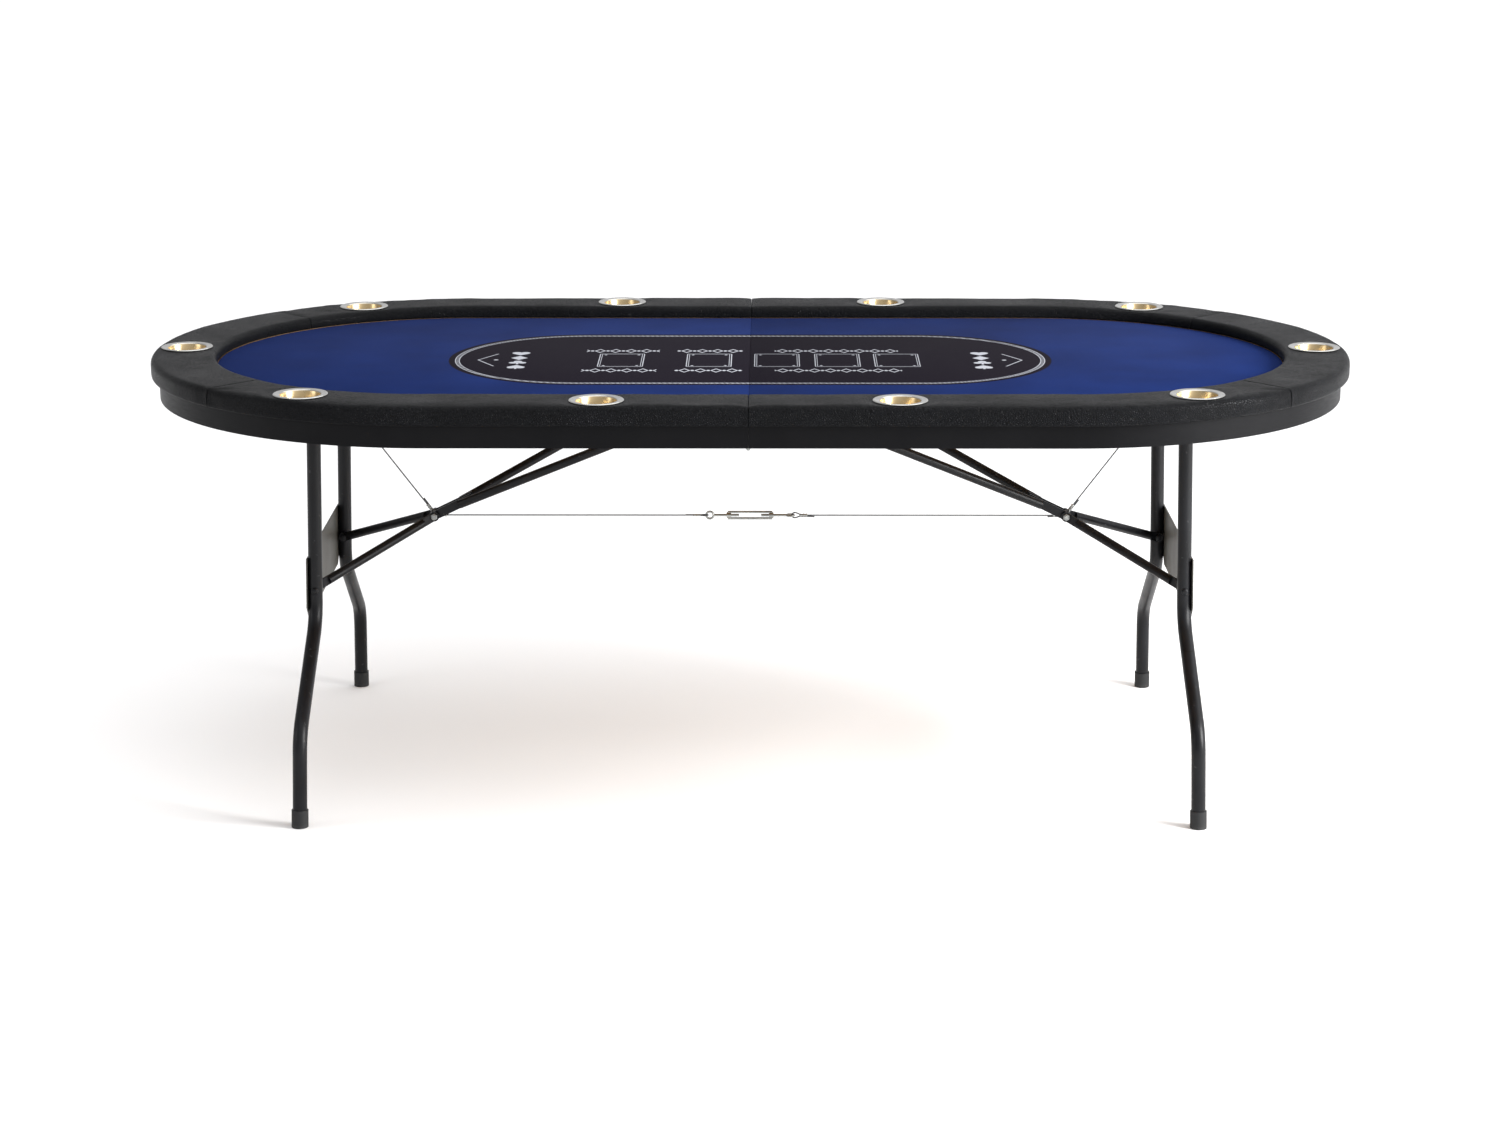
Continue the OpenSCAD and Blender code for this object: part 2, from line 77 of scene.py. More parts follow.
def add(tree: bpy.types.NodeTree, kind: str, inputs: dict | None = None, **settings) -> bpy.types.Node:
    """Add one node to a tree, with its settings, values and links.

    Args:
        tree: Node tree that takes the node.
        kind: Node type, such as "ShaderNodeMath".
        inputs: Socket name or index against a value or another node's output.
        **settings: Properties of the node.

    Returns:
        The new node.
    """
    node = tree.nodes.new(kind)
    for name, value in settings.items():
        setattr(node, name, value)
    for name, value in (inputs or {}).items():
        if isinstance(value, bpy.types.NodeSocket):
            tree.links.new(value, node.inputs[name])
        else:
            node.inputs[name].default_value = value
    return node


@dataclass(frozen=True)
class Field:
    """A number that varies over a surface, with the sums that a drawing is made of."""

    tree: bpy.types.NodeTree
    socket: bpy.types.NodeSocket

    def run(self, operation: str, *others: "Field | float", clamp: bool = False) -> "Field":
        """Work out one sum of this field and others.

        Args:
            operation: Name of the sum, as the Math node has it.
            *others: Fields or numbers after this one.
            clamp: Whether the result stays between zero and one.

        Returns:
            The field of the result.
        """
        values = {i: v.socket if isinstance(v, Field) else v for i, v in enumerate((self, *others))}
        node = add(self.tree, "ShaderNodeMath", values, operation=operation, use_clamp=clamp)
        return Field(self.tree, node.outputs[0])

    def __add__(self, other: "Field | float") -> "Field":
        """Return the sum."""
        return self.run("ADD", other)

    def __sub__(self, other: "Field | float") -> "Field":
        """Return the difference."""
        return self.run("SUBTRACT", other)

    def __mul__(self, other: "Field | float") -> "Field":
        """Return the product."""
        return self.run("MULTIPLY", other)

    def __abs__(self) -> "Field":
        """Return the size without its sign."""
        return self.run("ABSOLUTE")

    def least(self, other: "Field | float") -> "Field":
        """Return the smaller of the two, which joins two shapes."""
        return self.run("MINIMUM", other)

    def most(self, other: "Field | float") -> "Field":
        """Return the larger of the two, which keeps what two shapes share."""
        return self.run("MAXIMUM", other)

    def length_with(self, other: "Field") -> "Field":
        """Return the length of the arrow whose two parts are this field and the other."""
        return (self * self + other * other).run("SQRT")

    def ink(self, blur: float = 0.6 * MM) -> "Field":
        """Return one inside the shape, nought outside, over a soft edge."""
        return (self * (-1 / blur)).run("ADD", 0.5, clamp=True)


@dataclass(frozen=True)
class Finish:
    """What every finish has: a name, a colour, its mottle, and its roughness."""

    name: str
    colour: str
    mottle: str
    rough: float

    def start(self) -> tuple[bpy.types.Material, bpy.types.NodeTree, bpy.types.Node, bpy.types.NodeSocket]:
        """Make a bare material.

        Returns:
            The material, its tree, its shader and the object coordinates.
        """
        material = bpy.data.materials.new(self.name)
        material.use_nodes = True
        tree = material.node_tree
        tree.nodes.clear()
        shader = add(tree, "ShaderNodeBsdfPrincipled")
        add(tree, "ShaderNodeOutputMaterial", {"Surface": shader.outputs[0]})
        place = add(tree, "ShaderNodeTexCoord").outputs["Object"]
        return material, tree, shader, place

    def cloud(
        self, tree: bpy.types.NodeTree, place: bpy.types.NodeSocket, size: float, detail: float = 4
    ) -> bpy.types.NodeSocket:
        """Add a soft noise.

        Args:
            tree: Node tree.
            place: Coordinates in metres.
            size: Rough size of a patch, in metres.
            detail: Octaves of the noise.

        Returns:
            The noise's factor.
        """
        node = add(tree, "ShaderNodeTexNoise", {"Vector": place, "Scale": 1 / size, "Detail": detail})
        return node.outputs[0]

    def spread(
        self, tree: bpy.types.NodeTree, value: bpy.types.NodeSocket, low: float, high: float
    ) -> bpy.types.NodeSocket:
        """Map the middle of a noise to a range.

        Args:
            tree: Node tree.
            value: Noise from nought to one.
            low: Result at 0.3.
            high: Result at 0.7.

        Returns:
            The mapped value.
        """
        node = add(
            tree, "ShaderNodeMapRange",
            {"Value": value, "From Min": 0.3, "From Max": 0.7, "To Min": low, "To Max": high},
        )
        return node.outputs[0]

    def tint(
        self, tree: bpy.types.NodeTree, share: bpy.types.NodeSocket, low: object, high: object
    ) -> bpy.types.NodeSocket:
        """Blend two colours by a share.

        Args:
            tree: Node tree.
            share: Share of the second colour.
            low: Hex colour or a colour socket.
            high: Hex colour or a colour socket.

        Returns:
            The blended colour.
        """
        a, b = (linear(c) if isinstance(c, str) else c for c in (low, high))
        node = add(tree, "ShaderNodeMix", {0: share, 6: a, 7: b}, data_type="RGBA")
        return node.outputs[2]


@dataclass(frozen=True)
class Leatherette(Finish):
    """Pebble-grained vinyl leatherette, embossed on cloth: a soft broken sheen over small cells, with painted
    shade darkening the valleys between them.
    """

    pebble: float = 3.4 * MM  # the real grain is near 1.5 mm; drawn coarser so that it shows
    crease: float = 28 * MM

    def make(self) -> bpy.types.Material:
        """Make the material."""
        material, tree, shader, place = self.start()
        warp = add(tree, "ShaderNodeTexNoise", {"Vector": place, "Scale": 1 / (3 * self.pebble)})
        bent = add(
            tree, "ShaderNodeVectorMath", {0: warp.outputs[1], 1: (1.3 * MM,) * 3, 2: place},
            operation="MULTIPLY_ADD",
        )
        cells = add(
            tree, "ShaderNodeTexVoronoi", {"Vector": bent.outputs[0], "Scale": 1 / self.pebble},
            feature="DISTANCE_TO_EDGE",
        )
        dome = add(
            tree, "ShaderNodeMapRange",
            {"Value": cells.outputs[0], "From Max": 0.22}, interpolation_type="SMOOTHSTEP",
        ).outputs[0]
        patch = self.cloud(tree, place, 0.11)
        fine = self.cloud(tree, place, 0.9 * MM, 2)
        worn = self.tint(tree, self.spread(tree, patch, 0, 1), self.colour, self.mottle)
        # painted shade: the valleys between the pebbles, where the bump is lowest, are darkened towards #060607
        dark = self.tint(tree, dome, "#060607", worn)
        tree.links.new(dark, shader.inputs["Base Color"])
        polish = self.spread(tree, patch, self.rough + 0.05, self.rough - 0.05)
        valley = add(tree, "ShaderNodeMath", {0: dome, 1: -0.12, 2: polish}, operation="MULTIPLY_ADD")
        tree.links.new(valley.outputs[0], shader.inputs["Roughness"])
        folds = self.cloud(tree, place, self.crease, 3)
        low = add(tree, "ShaderNodeBump", {"Height": folds, "Strength": 0.35, "Distance": 0.8 * MM})
        mid = add(
            tree, "ShaderNodeBump",
            {"Height": dome, "Strength": 1.0, "Distance": 0.8 * MM, "Normal": low.outputs[0]},
        )
        top = add(
            tree, "ShaderNodeBump",
            {"Height": fine, "Strength": 0.25, "Distance": 0.08 * MM, "Normal": mid.outputs[0]},
        )
        tree.links.new(top.outputs[0], shader.inputs["Normal"])
        shader.inputs["IOR"].default_value = 1.46
        shader.inputs["Specular IOR Level"].default_value = 0.09
        return material


@dataclass(frozen=True)
class Laminate(Finish):
    """Pressed melamine on fibreboard: satin, a faint orange peel, and hairline rubs from handling."""

    peel: float = 2.4 * MM

    def make(self) -> bpy.types.Material:
        """Make the material."""
        material, tree, shader, place = self.start()
        patch = self.cloud(tree, place, 0.09)
        long = add(tree, "ShaderNodeMapping", {"Vector": place, "Scale": (40, 40, 900)})
        rubs = add(tree, "ShaderNodeTexNoise", {"Vector": long.outputs[0], "Scale": 1, "Detail": 3})
        colour = self.tint(tree, self.spread(tree, patch, 0, 1), self.colour, self.mottle)
        tree.links.new(colour, shader.inputs["Base Color"])
        rough = self.spread(tree, rubs.outputs[0], self.rough - 0.04, self.rough + 0.08)
        tree.links.new(rough, shader.inputs["Roughness"])
        peel = self.cloud(tree, place, self.peel, 1)
        bump = add(tree, "ShaderNodeBump", {"Height": peel, "Strength": 0.12, "Distance": 0.1 * MM})
        tree.links.new(bump.outputs[0], shader.inputs["Normal"])
        shader.inputs["Specular IOR Level"].default_value = 0.1
        return material


@dataclass(frozen=True)
class PowderCoat(Finish):
    """Powder-coated steel: semi-gloss polyester with orange peel and small scuffs."""

    peel: float = 1.8 * MM
    joint_z: float | None = None

    def make(self) -> bpy.types.Material:
        """Make the material."""
        material, tree, shader, place = self.start()
        patch = self.cloud(tree, place, 0.06)
        scuff = self.spread(tree, self.cloud(tree, place, 9 * MM, 6), -2.4, 0.22)
        base = self.tint(tree, self.spread(tree, patch, 0, 1), self.colour, self.mottle)
        held = add(tree, "ShaderNodeMath", {0: scuff, 1: 0.0}, operation="MAXIMUM").outputs[0]
        colour = self.tint(tree, held, base, "#5b5b5c")
        if self.joint_z is not None:
            height = Field(tree, add(tree, "ShaderNodeSeparateXYZ", {0: place}).outputs[2])
            line = (abs(height - self.joint_z) - 0.8 * MM).ink()
            colour = self.tint(tree, line.socket, colour, "#050506")
        tree.links.new(colour, shader.inputs["Base Color"])
        rough = self.spread(tree, patch, self.rough - 0.05, self.rough + 0.08)
        tree.links.new(rough, shader.inputs["Roughness"])
        peel = self.cloud(tree, place, self.peel, 2)
        bump = add(tree, "ShaderNodeBump", {"Height": peel, "Strength": 0.2, "Distance": 0.15 * MM})
        tree.links.new(bump.outputs[0], shader.inputs["Normal"])
        shader.inputs["Specular IOR Level"].default_value = 0.2
        return material


@dataclass(frozen=True)
class Metal(Finish):
    """Bare or plated metal: turned or drawn, with fine lines and handling haze."""

    lines: float = 0.8 * MM
    depth: float = 0.02 * MM

    def make(self) -> bpy.types.Material:
        """Make the material."""
        material, tree, shader, place = self.start()
        shader.inputs["Metallic"].default_value = 1.0
        haze = self.cloud(tree, place, 14 * MM)
        colour = self.tint(tree, self.spread(tree, haze, 0, 1), self.colour, self.mottle)
        tree.links.new(colour, shader.inputs["Base Color"])
        rough = self.spread(tree, haze, self.rough * 0.75, self.rough * 1.3)
        tree.links.new(rough, shader.inputs["Roughness"])
        grain = self.cloud(tree, place, self.lines, 2)
        bump = add(tree, "ShaderNodeBump", {"Height": grain, "Strength": 0.3, "Distance": self.depth})
        tree.links.new(bump.outputs[0], shader.inputs["Normal"])
        return material


@dataclass(frozen=True)
class CupSteel(Finish):
    """Spun stainless steel: a polished rim, and a brushed bore with a warm reflection painted into its colour
    inside.
    """

    rim_z: float = 0.76
    painted_warm_reflection: str = "#ccb68c"

    def make(self) -> bpy.types.Material:
        """Make the material."""
        material, tree, shader, place = self.start()
        shader.inputs["Metallic"].default_value = 1.0
        flat = add(tree, "ShaderNodeMapping", {"Vector": place, "Scale": (60, 60, 1400)})
        brushed = add(tree, "ShaderNodeTexNoise", {"Vector": flat.outputs[0], "Scale": 1, "Detail": 2})
        haze = self.cloud(tree, place, 11 * MM)
        silver = self.tint(tree, self.spread(tree, haze, 0, 1), self.colour, self.mottle)
        height = Field(tree, add(tree, "ShaderNodeSeparateXYZ", {0: place}).outputs[2])
        # painted reflection: below the rim the bore's colour is blended towards a warm gold
        inside = (height - (self.rim_z - 2.2 * MM)).ink(2 * MM)
        colour = self.tint(tree, inside.socket, silver, self.painted_warm_reflection)
        tree.links.new(colour, shader.inputs["Base Color"])
        rough = self.spread(tree, haze, self.rough - 0.03, self.rough + 0.06)
        dull = inside * 0.16 + Field(tree, rough)
        tree.links.new(dull.socket, shader.inputs["Roughness"])
        bump = add(
            tree, "ShaderNodeBump",
            {"Height": brushed.outputs[0], "Strength": 0.15, "Distance": 0.05 * MM},
        )
        tree.links.new(bump.outputs[0], shader.inputs["Normal"])
        return material


@dataclass(frozen=True)
class Plywood(Finish):
    """Rotary-cut poplar plywood: long soft grain on the faces and plies on the edges."""

    grain: float = 7 * MM
    ply: float = 2.5 * MM

    def make(self) -> bpy.types.Material:
        """Make the material."""
        material, tree, shader, place = self.start()
        drawn = add(tree, "ShaderNodeMapping", {"Vector": place, "Scale": (0.09, 1, 1)})
        rings = add(
            tree, "ShaderNodeTexNoise",
            {"Vector": drawn.outputs[0], "Scale": 1 / self.grain, "Detail": 5, "Distortion": 0.6},
        )
        plies = add(
            tree, "ShaderNodeTexWave", {"Vector": place, "Scale": 1 / (2 * self.ply)}, bands_direction="Z",
        )
        grain = self.tint(tree, self.spread(tree, rings.outputs[0], 0, 1), self.colour, self.mottle)
        share = add(tree, "ShaderNodeMath", {0: plies.outputs[1], 1: 0.25}, operation="MULTIPLY")
        tree.links.new(self.tint(tree, share.outputs[0], grain, "#5f4630"), shader.inputs["Base Color"])
        tree.links.new(
            self.spread(tree, rings.outputs[0], self.rough - 0.06, self.rough + 0.06),
            shader.inputs["Roughness"],
        )
        bump = add(
            tree, "ShaderNodeBump",
            {"Height": rings.outputs[0], "Strength": 0.3, "Distance": 0.2 * MM},
        )
        tree.links.new(bump.outputs[0], shader.inputs["Normal"])
        return material


@dataclass(frozen=True)
class Rubber(Finish):
    """Moulded thermoplastic rubber: matt, with a fine spark-eroded skin and floor dust low down."""

    dust: str = "#3a3a39"

    def make(self) -> bpy.types.Material:
        """Make the material."""
        material, tree, shader, place = self.start()
        patch = self.cloud(tree, place, 8 * MM)
        base = self.tint(tree, self.spread(tree, patch, 0, 1), self.colour, self.mottle)
        height = Field(tree, add(tree, "ShaderNodeSeparateXYZ", {0: place}).outputs[2])
        low = (height - 5 * MM).ink(8 * MM) * Field(tree, self.spread(tree, patch, 0.1, 0.6))
        tree.links.new(self.tint(tree, low.socket, base, self.dust), shader.inputs["Base Color"])
        rough = self.spread(tree, patch, self.rough - 0.08, self.rough + 0.05)
        tree.links.new(rough, shader.inputs["Roughness"])
        skin = self.cloud(tree, place, 0.7 * MM, 2)
        bump = add(tree, "ShaderNodeBump", {"Height": skin, "Strength": 0.4, "Distance": 0.1 * MM})
        tree.links.new(bump.outputs[0], shader.inputs["Normal"])
        return material


@dataclass(frozen=True)
class WireRope(Finish):
    """Galvanised wire rope: six strands laid up, which shows as slanting grooves darkened with painted shade."""

    lay: float = 3.2 * MM

    def make(self) -> bpy.types.Material:
        """Make the material."""
        material, tree, shader, place = self.start()
        shader.inputs["Metallic"].default_value = 0.9
        split = add(tree, "ShaderNodeSeparateXYZ", {0: place})
        along, up, across = (Field(tree, split.outputs[i]) for i in (0, 2, 1))
        slant = (along + up * 1.4 + across * 0.9) * (2 * math.pi / self.lay)
        strand = (slant.run("SINE") * 0.5).run("ADD", 0.5, clamp=True)
        # painted shade: the grooves between the strands, low in the bump, are darkened towards #1d1e20
        colour = self.tint(tree, strand.socket, "#1d1e20", self.colour)
        spots = self.spread(tree, self.cloud(tree, place, 20 * MM), 0, 0.7)
        tree.links.new(self.tint(tree, spots, colour, self.mottle), shader.inputs["Base Color"])
        shader.inputs["Roughness"].default_value = self.rough
        bump = add(tree, "ShaderNodeBump", {"Height": strand.socket, "Strength": 0.8, "Distance": 0.3 * MM})
        tree.links.new(bump.outputs[0], shader.inputs["Normal"])
        return material


@dataclass(frozen=True)
class CardCloth(Finish):
    """Printed card-table cloth: brushed polyester weave with a soft nap, and ink printed into it."""

    ground: str = "#150f17"
    line: str = "#c9ccd4"
    thread: float = 1.6 * MM  # real threads are 0.5 mm apart; drawn coarser so that they show
    half_long: float = 0.540
    half_wide: float = 0.241
    border: float = 15.5 * MM
    card_x: Sequence[float] = (-0.2305, -0.0730, 0.0484, 0.1564, 0.2626)
    card_half: tuple[float, float] = (0.0407, 0.062)
    card_y: float = -0.014

    def oval(self, x: Field, y: Field) -> Field:
        """Return the distance from the edge of the dark oval, negative inside."""
        end = (abs(x) - (self.half_long - self.half_wide)).most(0.0)
        return end.length_with(y) - self.half_wide

    def frame_of(
        self, x: Field, y: Field, middle: Sequence[float], half: Sequence[float], corner: float
    ) -> Field:
        """Return the distance from the edge of a box with rounded corners.

        Args:
            x: Field along the table.
            y: Field across the table.
            middle: Centre of the box.
            half: Half its length and half its width.
            corner: Radius of its corners.

        Returns:
            The distance, negative inside.
        """
        dx = abs(x - middle[0]) - (half[0] - corner)
        dy = abs(y - middle[1]) - (half[1] - corner)
        outside = dx.most(0.0).length_with(dy.most(0.0))
        return outside + dx.most(dy).least(0.0) - corner

    def rope(self, x: Field, y: Field, edge: Field) -> Field:
        """Return the ink of the roped border: two thin lines with slanting strokes between."""
        inner = edge + self.border
        lines = (abs(abs(inner) - 3.4 * MM) - 0.75 * MM).ink()
        turn = (x + y * 0.9) * (2 * math.pi / (9 * MM))
        strokes = (turn.run("SINE") * (-2 * MM)).ink(1.2 * MM)
        band = (abs(inner) - 2.4 * MM).ink()
        return lines.most(strokes * band * 0.6)

    def cards(self, x: Field, y: Field) -> Field:
        """Return the ink of the five card boxes, each a double line with a diamond in each corner."""
        near = abs(x - self.card_x[0])
        for place in self.card_x[1:]:
            near = near.least(abs(x - place))
        high = abs(y - self.card_y)
        origin = (0.0, 0.0)
        box = self.frame_of(near, high, origin, self.card_half, 5 * MM)
        outer = (abs(box + 0.9 * MM) - 0.8 * MM).ink()
        inner = (abs(box + 4.6 * MM) - 0.5 * MM).ink()
        dx = abs(near - (self.card_half[0] - 11 * MM))
        dy = abs(high - (self.card_half[1] - 11 * MM))
        diamond = (dx + dy - 3.4 * MM).ink()
        return outer.most(inner).most(diamond)

    def ribbons(self, x: Field, y: Field) -> Field:
        """Return the ink of the ornament bands above and below the boxes: lozenges and dots in a row."""
        ink = None
        spans = ((-0.2305, 0.066), (-0.0730, 0.060), (0.1564, 0.112))
        pitch = 28 * MM
        for row in (0.0755, -0.1105):
            high = abs(y - row)
            for middle, half in spans:
                along = x - middle
                beat = abs((along * (1 / pitch)).run("FRACT") - 0.5) * pitch
                tall = beat * 1.7 + high
                lozenge = (tall - 18 * MM).most((tall - 12.5 * MM) * -1)
                dot = (beat - pitch / 2).length_with(high * 0.6) - 3.2 * MM
                inside = abs(along) - half
                mark = lozenge.least(dot).most(inside).ink()
                ink = mark if ink is None else ink.most(mark)
        return ink

    def suits(self, x: Field, y: Field) -> Field:
        """Return the ink of the four suit signs and the chevron at each end."""
        out = abs(x)
        ink = None
        for index, place in enumerate((0.064, 0.021, -0.022, -0.065)):
            u, v = (out - 0.4145) * 0.8, (y - (place - 0.014)) * 0.8
            side = abs(u)
            if index == 0:
                shape = (side - 6 * MM).length_with(v - 4 * MM) - 7 * MM
                shape = shape.least((side + abs(v + 1.5 * MM) - 12 * MM).most(v - 3 * MM))
            elif index == 1:
                shape = side * 1.25 + abs(v) - 15 * MM
            elif index == 2:
                shape = (side - 6.5 * MM).length_with(v + 2 * MM) - 6 * MM
                shape = shape.least(side.length_with(v - 7 * MM) - 6 * MM)
                shape = shape.least((side - 1.6 * MM).most(abs(v + 7 * MM) - 7 * MM))
            else:
                shape = (side - 6 * MM).length_with(v + 3 * MM) - 6.5 * MM
                shape = shape.least((side + abs(v - 1.5 * MM) - 13 * MM).most((v + 4 * MM) * -1))
                shape = shape.least((side - 1.6 * MM).most(abs(v + 8 * MM) - 6 * MM))
            mark = shape.ink(0.8 * MM)
            ink = mark if ink is None else ink.most(mark)
        level = abs(y + 0.012)
        arrow = abs((out - 0.487) + level * 0.55) - 1.4 * MM
        arrow = arrow.most(level - 58 * MM)
        dot = (out - 0.455).length_with(level) - 4.2 * MM
        return ink.most(arrow.ink()).most(dot.ink())

    def make(self) -> bpy.types.Material:
        """Make the material."""
        material, tree, shader, place = self.start()
        split = add(tree, "ShaderNodeSeparateXYZ", {0: place})
        x, y = (Field(tree, split.outputs[i]) for i in (0, 1))
        edge = self.oval(x, y)
        patch = self.cloud(tree, place, 0.16)
        cloth = self.tint(tree, self.spread(tree, patch, 0, 1), self.colour, self.mottle)
        dark = self.tint(tree, edge.ink(1.2 * MM).socket, cloth, self.ground)
        ink = self.rope(x, y, edge).most(self.cards(x, y)).most(self.ribbons(x, y)).most(self.suits(x, y))
        ink = ink * 0.86
        printed = self.tint(tree, ink.socket, dark, self.line)
        warp = (x * (2 * math.pi / self.thread)).run("SINE")
        weft = (y * (2 * math.pi / self.thread)).run("SINE")
        weave = warp * weft * 0.5 + 0.5
        nap = self.cloud(tree, place, 1.1 * MM, 2)
        deep = self.tint(tree, self.spread(tree, nap, 0.0, 0.28), printed, "#0d1226")
        tree.links.new(deep, shader.inputs["Base Color"])
        shader.inputs["Roughness"].default_value = self.rough
        shader.inputs["Sheen Weight"].default_value = 0.012
        shader.inputs["Sheen Roughness"].default_value = 0.5
        shader.inputs["Specular IOR Level"].default_value = 0.02
        fuzz = weave + Field(tree, nap)
        bump = add(tree, "ShaderNodeBump", {"Height": fuzz.socket, "Strength": 0.5, "Distance": 0.2 * MM})
        tree.links.new(bump.outputs[0], shader.inputs["Normal"])
        return material


@dataclass(frozen=True)
class Studio(Finish):
    """Seamless paper: nearly white, with the faintest tooth."""

    def make(self) -> bpy.types.Material:
        """Make the material."""
        material, tree, shader, place = self.start()
        patch = self.spread(tree, self.cloud(tree, place, 0.8), 0, 1)
        tree.links.new(self.tint(tree, patch, self.colour, self.mottle), shader.inputs["Base Color"])
        shader.inputs["Roughness"].default_value = self.rough
        shader.inputs["Specular IOR Level"].default_value = 0.0
        return material


class Slot(Enum):
    """The record's material slots."""

    PLYWOOD = "plywood"
    FELT = "felt"
    APRON = "apron_laminate"
    RAIL = "rail_leather"
    CUP = "cup_steel"
    LEG = "leg_paint"
    GUSSET = "gusset_paint"
    FOOT = "foot_rubber"
    ZINC = "zinc_hardware"
    ROPE = "wire_rope"


@dataclass
class Palette:
    """Every finish of the table, made once and handed out by slot."""

    made: dict[Slot, bpy.types.Material] = field(default_factory=dict)

    def build(self) -> None:
        """Make the materials."""
        cup_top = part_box("right_cup_holders")[1].z
        finishes = {
            Slot.PLYWOOD: Plywood("poplar plywood", "#a98658", "#8a6a44", 0.68),
            Slot.FELT: CardCloth("printed brushed polyester", "#112355", "#162b64", 0.94),
            Slot.APRON: Laminate("pressed melamine", "#08080a", "#0d0d0f", 0.4),
            Slot.RAIL: Leatherette("pebbled vinyl leatherette", "#0e0f11", "#141518", 0.46),
            Slot.CUP: CupSteel("spun stainless steel", "#d5d4cf", "#c2c2bf", 0.12, cup_top),
            Slot.LEG: PowderCoat("powder-coated steel tube", "#0d0d0f", "#151619", 0.36, joint_z=0.272),
            Slot.GUSSET: PowderCoat("painted steel sheet", "#45443f", "#504f4a", 0.5),
            Slot.FOOT: Rubber("moulded rubber", "#0d0e0f", "#17181a", 0.72),
            Slot.ZINC: Metal("zinc-plated steel", "#a9aaa6", "#8d8f8e", 0.34),
            Slot.ROPE: WireRope("galvanised wire rope", "#8f9193", "#5d5e60", 0.42),
        }
        for slot, finish in finishes.items():
            self.made[slot] = finish.make()
        log.info("%d finishes", len(self.made))

    def dress(self, piece: bpy.types.Object, slot: Slot) -> None:
        """Give a piece its finish."""
        piece.data.materials.clear()
        piece.data.materials.append(self.made[slot])


# ---------------------------------------------------------------- shared shop work


class Side(Enum):
    """The two halves of the table."""

    LEFT = -1
    RIGHT = 1

    def node(self, part: str) -> str:
        """Return a part's node or body name on this half."""
        return f"{self.name.lower()}_{part}"


def put(name: str, bm: bmesh.types.BMesh, smooth_under: float = 35.0) -> bpy.types.Object:
    """Turn a finished bmesh into an object at the origin.

    Args:
        name: Name of the piece.
        bm: Mesh in place, in metres; it is freed.
        smooth_under: Edges flatter than this many degrees are shaded smooth.

    Returns:
        The linked object.
    """
    limit = math.radians(smooth_under)
    for face in bm.faces:
        face.smooth = True
    for edge in bm.edges:
        edge.smooth = len(edge.link_faces) != 2 or edge.calc_face_angle(0.0) < limit
    mesh = bpy.data.meshes.new(name)
    bm.to_mesh(mesh)
    bm.free()
    piece = bpy.data.objects.new(name, mesh)
    bpy.context.scene.collection.objects.link(piece)
    return piece


def in_order(bm: bmesh.types.BMesh) -> None:
    """Number a mesh's parts by their places, so that every run gives the same cloth and cuts."""
    cells, grain = 150000, 0.02 * MM

    def rank(co: Vector) -> float:
        """Return one number for a place, exact to the grain."""
        x, y, z = (round(c / grain) for c in co)
        return float((x * cells + y) * cells + z)

    bm.verts.sort(key=lambda v: rank(v.co))
    bm.edges.sort(key=lambda e: rank((e.verts[0].co + e.verts[1].co) / 2))
    bm.faces.sort(key=lambda f: rank(f.calc_center_median()))


def tidy_faces(bm: bmesh.types.BMesh) -> None:
    """Merge doubles and turn every face outwards."""
    bmesh.ops.remove_doubles(bm, verts=bm.verts, dist=1e-6)
    bmesh.ops.recalc_face_normals(bm, faces=bm.faces)
    in_order(bm)


def turned(bm: bmesh.types.BMesh, outline: Iterable[tuple[float, float]], axis: Matrix, steps: int) -> list:
    """Turn an outline on a lathe.

    Args:
        bm: Mesh that takes the shape.
        outline: Radius and height of each point, from axis to axis.
        axis: Place of the lathe's axis, its own Z.
        steps: Faces round the axis.

    Returns:
        The new vertices.
    """
    points = [bm.verts.new(axis @ Vector((r, 0.0, z))) for r, z in outline]
    edges = [bm.edges.new(pair) for pair in zip(points, points[1:])]
    old = set(bm.verts) - set(points)
    bmesh.ops.spin(
        bm, geom=[*points, *edges], cent=axis.translation, axis=axis.to_3x3() @ Vector((0, 0, 1)),
        angle=2 * math.pi, steps=steps, use_merge=True,
    )
    return [v for v in bm.verts if v not in old]


def along_y(x: float, y: float, z: float) -> Matrix:
    """Return the place of a lathe whose axis points to the back, at the given point."""
    return Matrix.Translation((x, y, z)) @ Matrix.Rotation(-math.pi / 2, 4, "X")


def hexagon(bm: bmesh.types.BMesh, place: Matrix, across: float, height: float) -> None:
    """Add a hexagon nut or head with chamfered corners.

    Args:
        bm: Mesh that takes it.
        place: Middle of its seat, its own Z pointing away from the work.
        across: Width across flats.
        height: Height of the head.
    """
    radius = across / math.sqrt(3)
    made = bmesh.ops.create_cone(
        bm, cap_ends=True, segments=6, radius1=radius, radius2=radius, depth=height,
        matrix=place @ Matrix.Translation((0, 0, height / 2)),
    )
    rim = dict.fromkeys(e for v in made["verts"] for e in v.link_edges)
    bmesh.ops.bevel(
        bm, geom=list(rim), offset=0.5 * MM, offset_type="OFFSET", segments=2, profile=0.5,
        affect="EDGES", material=-1,
    )


def step(t: float, low: float, high: float) -> float:
    """Return a smooth rise from nought at low to one at high."""
    s = min(max((t - low) / (high - low), 0.0), 1.0)
    return s * s * (3 - 2 * s)


# ---------------------------------------------------------------- padded rail


class Segment(Enum):
    """The three pads of each half."""

    END = "end_pad"
    FRONT = "front_pad"
    BACK = "back_pad"


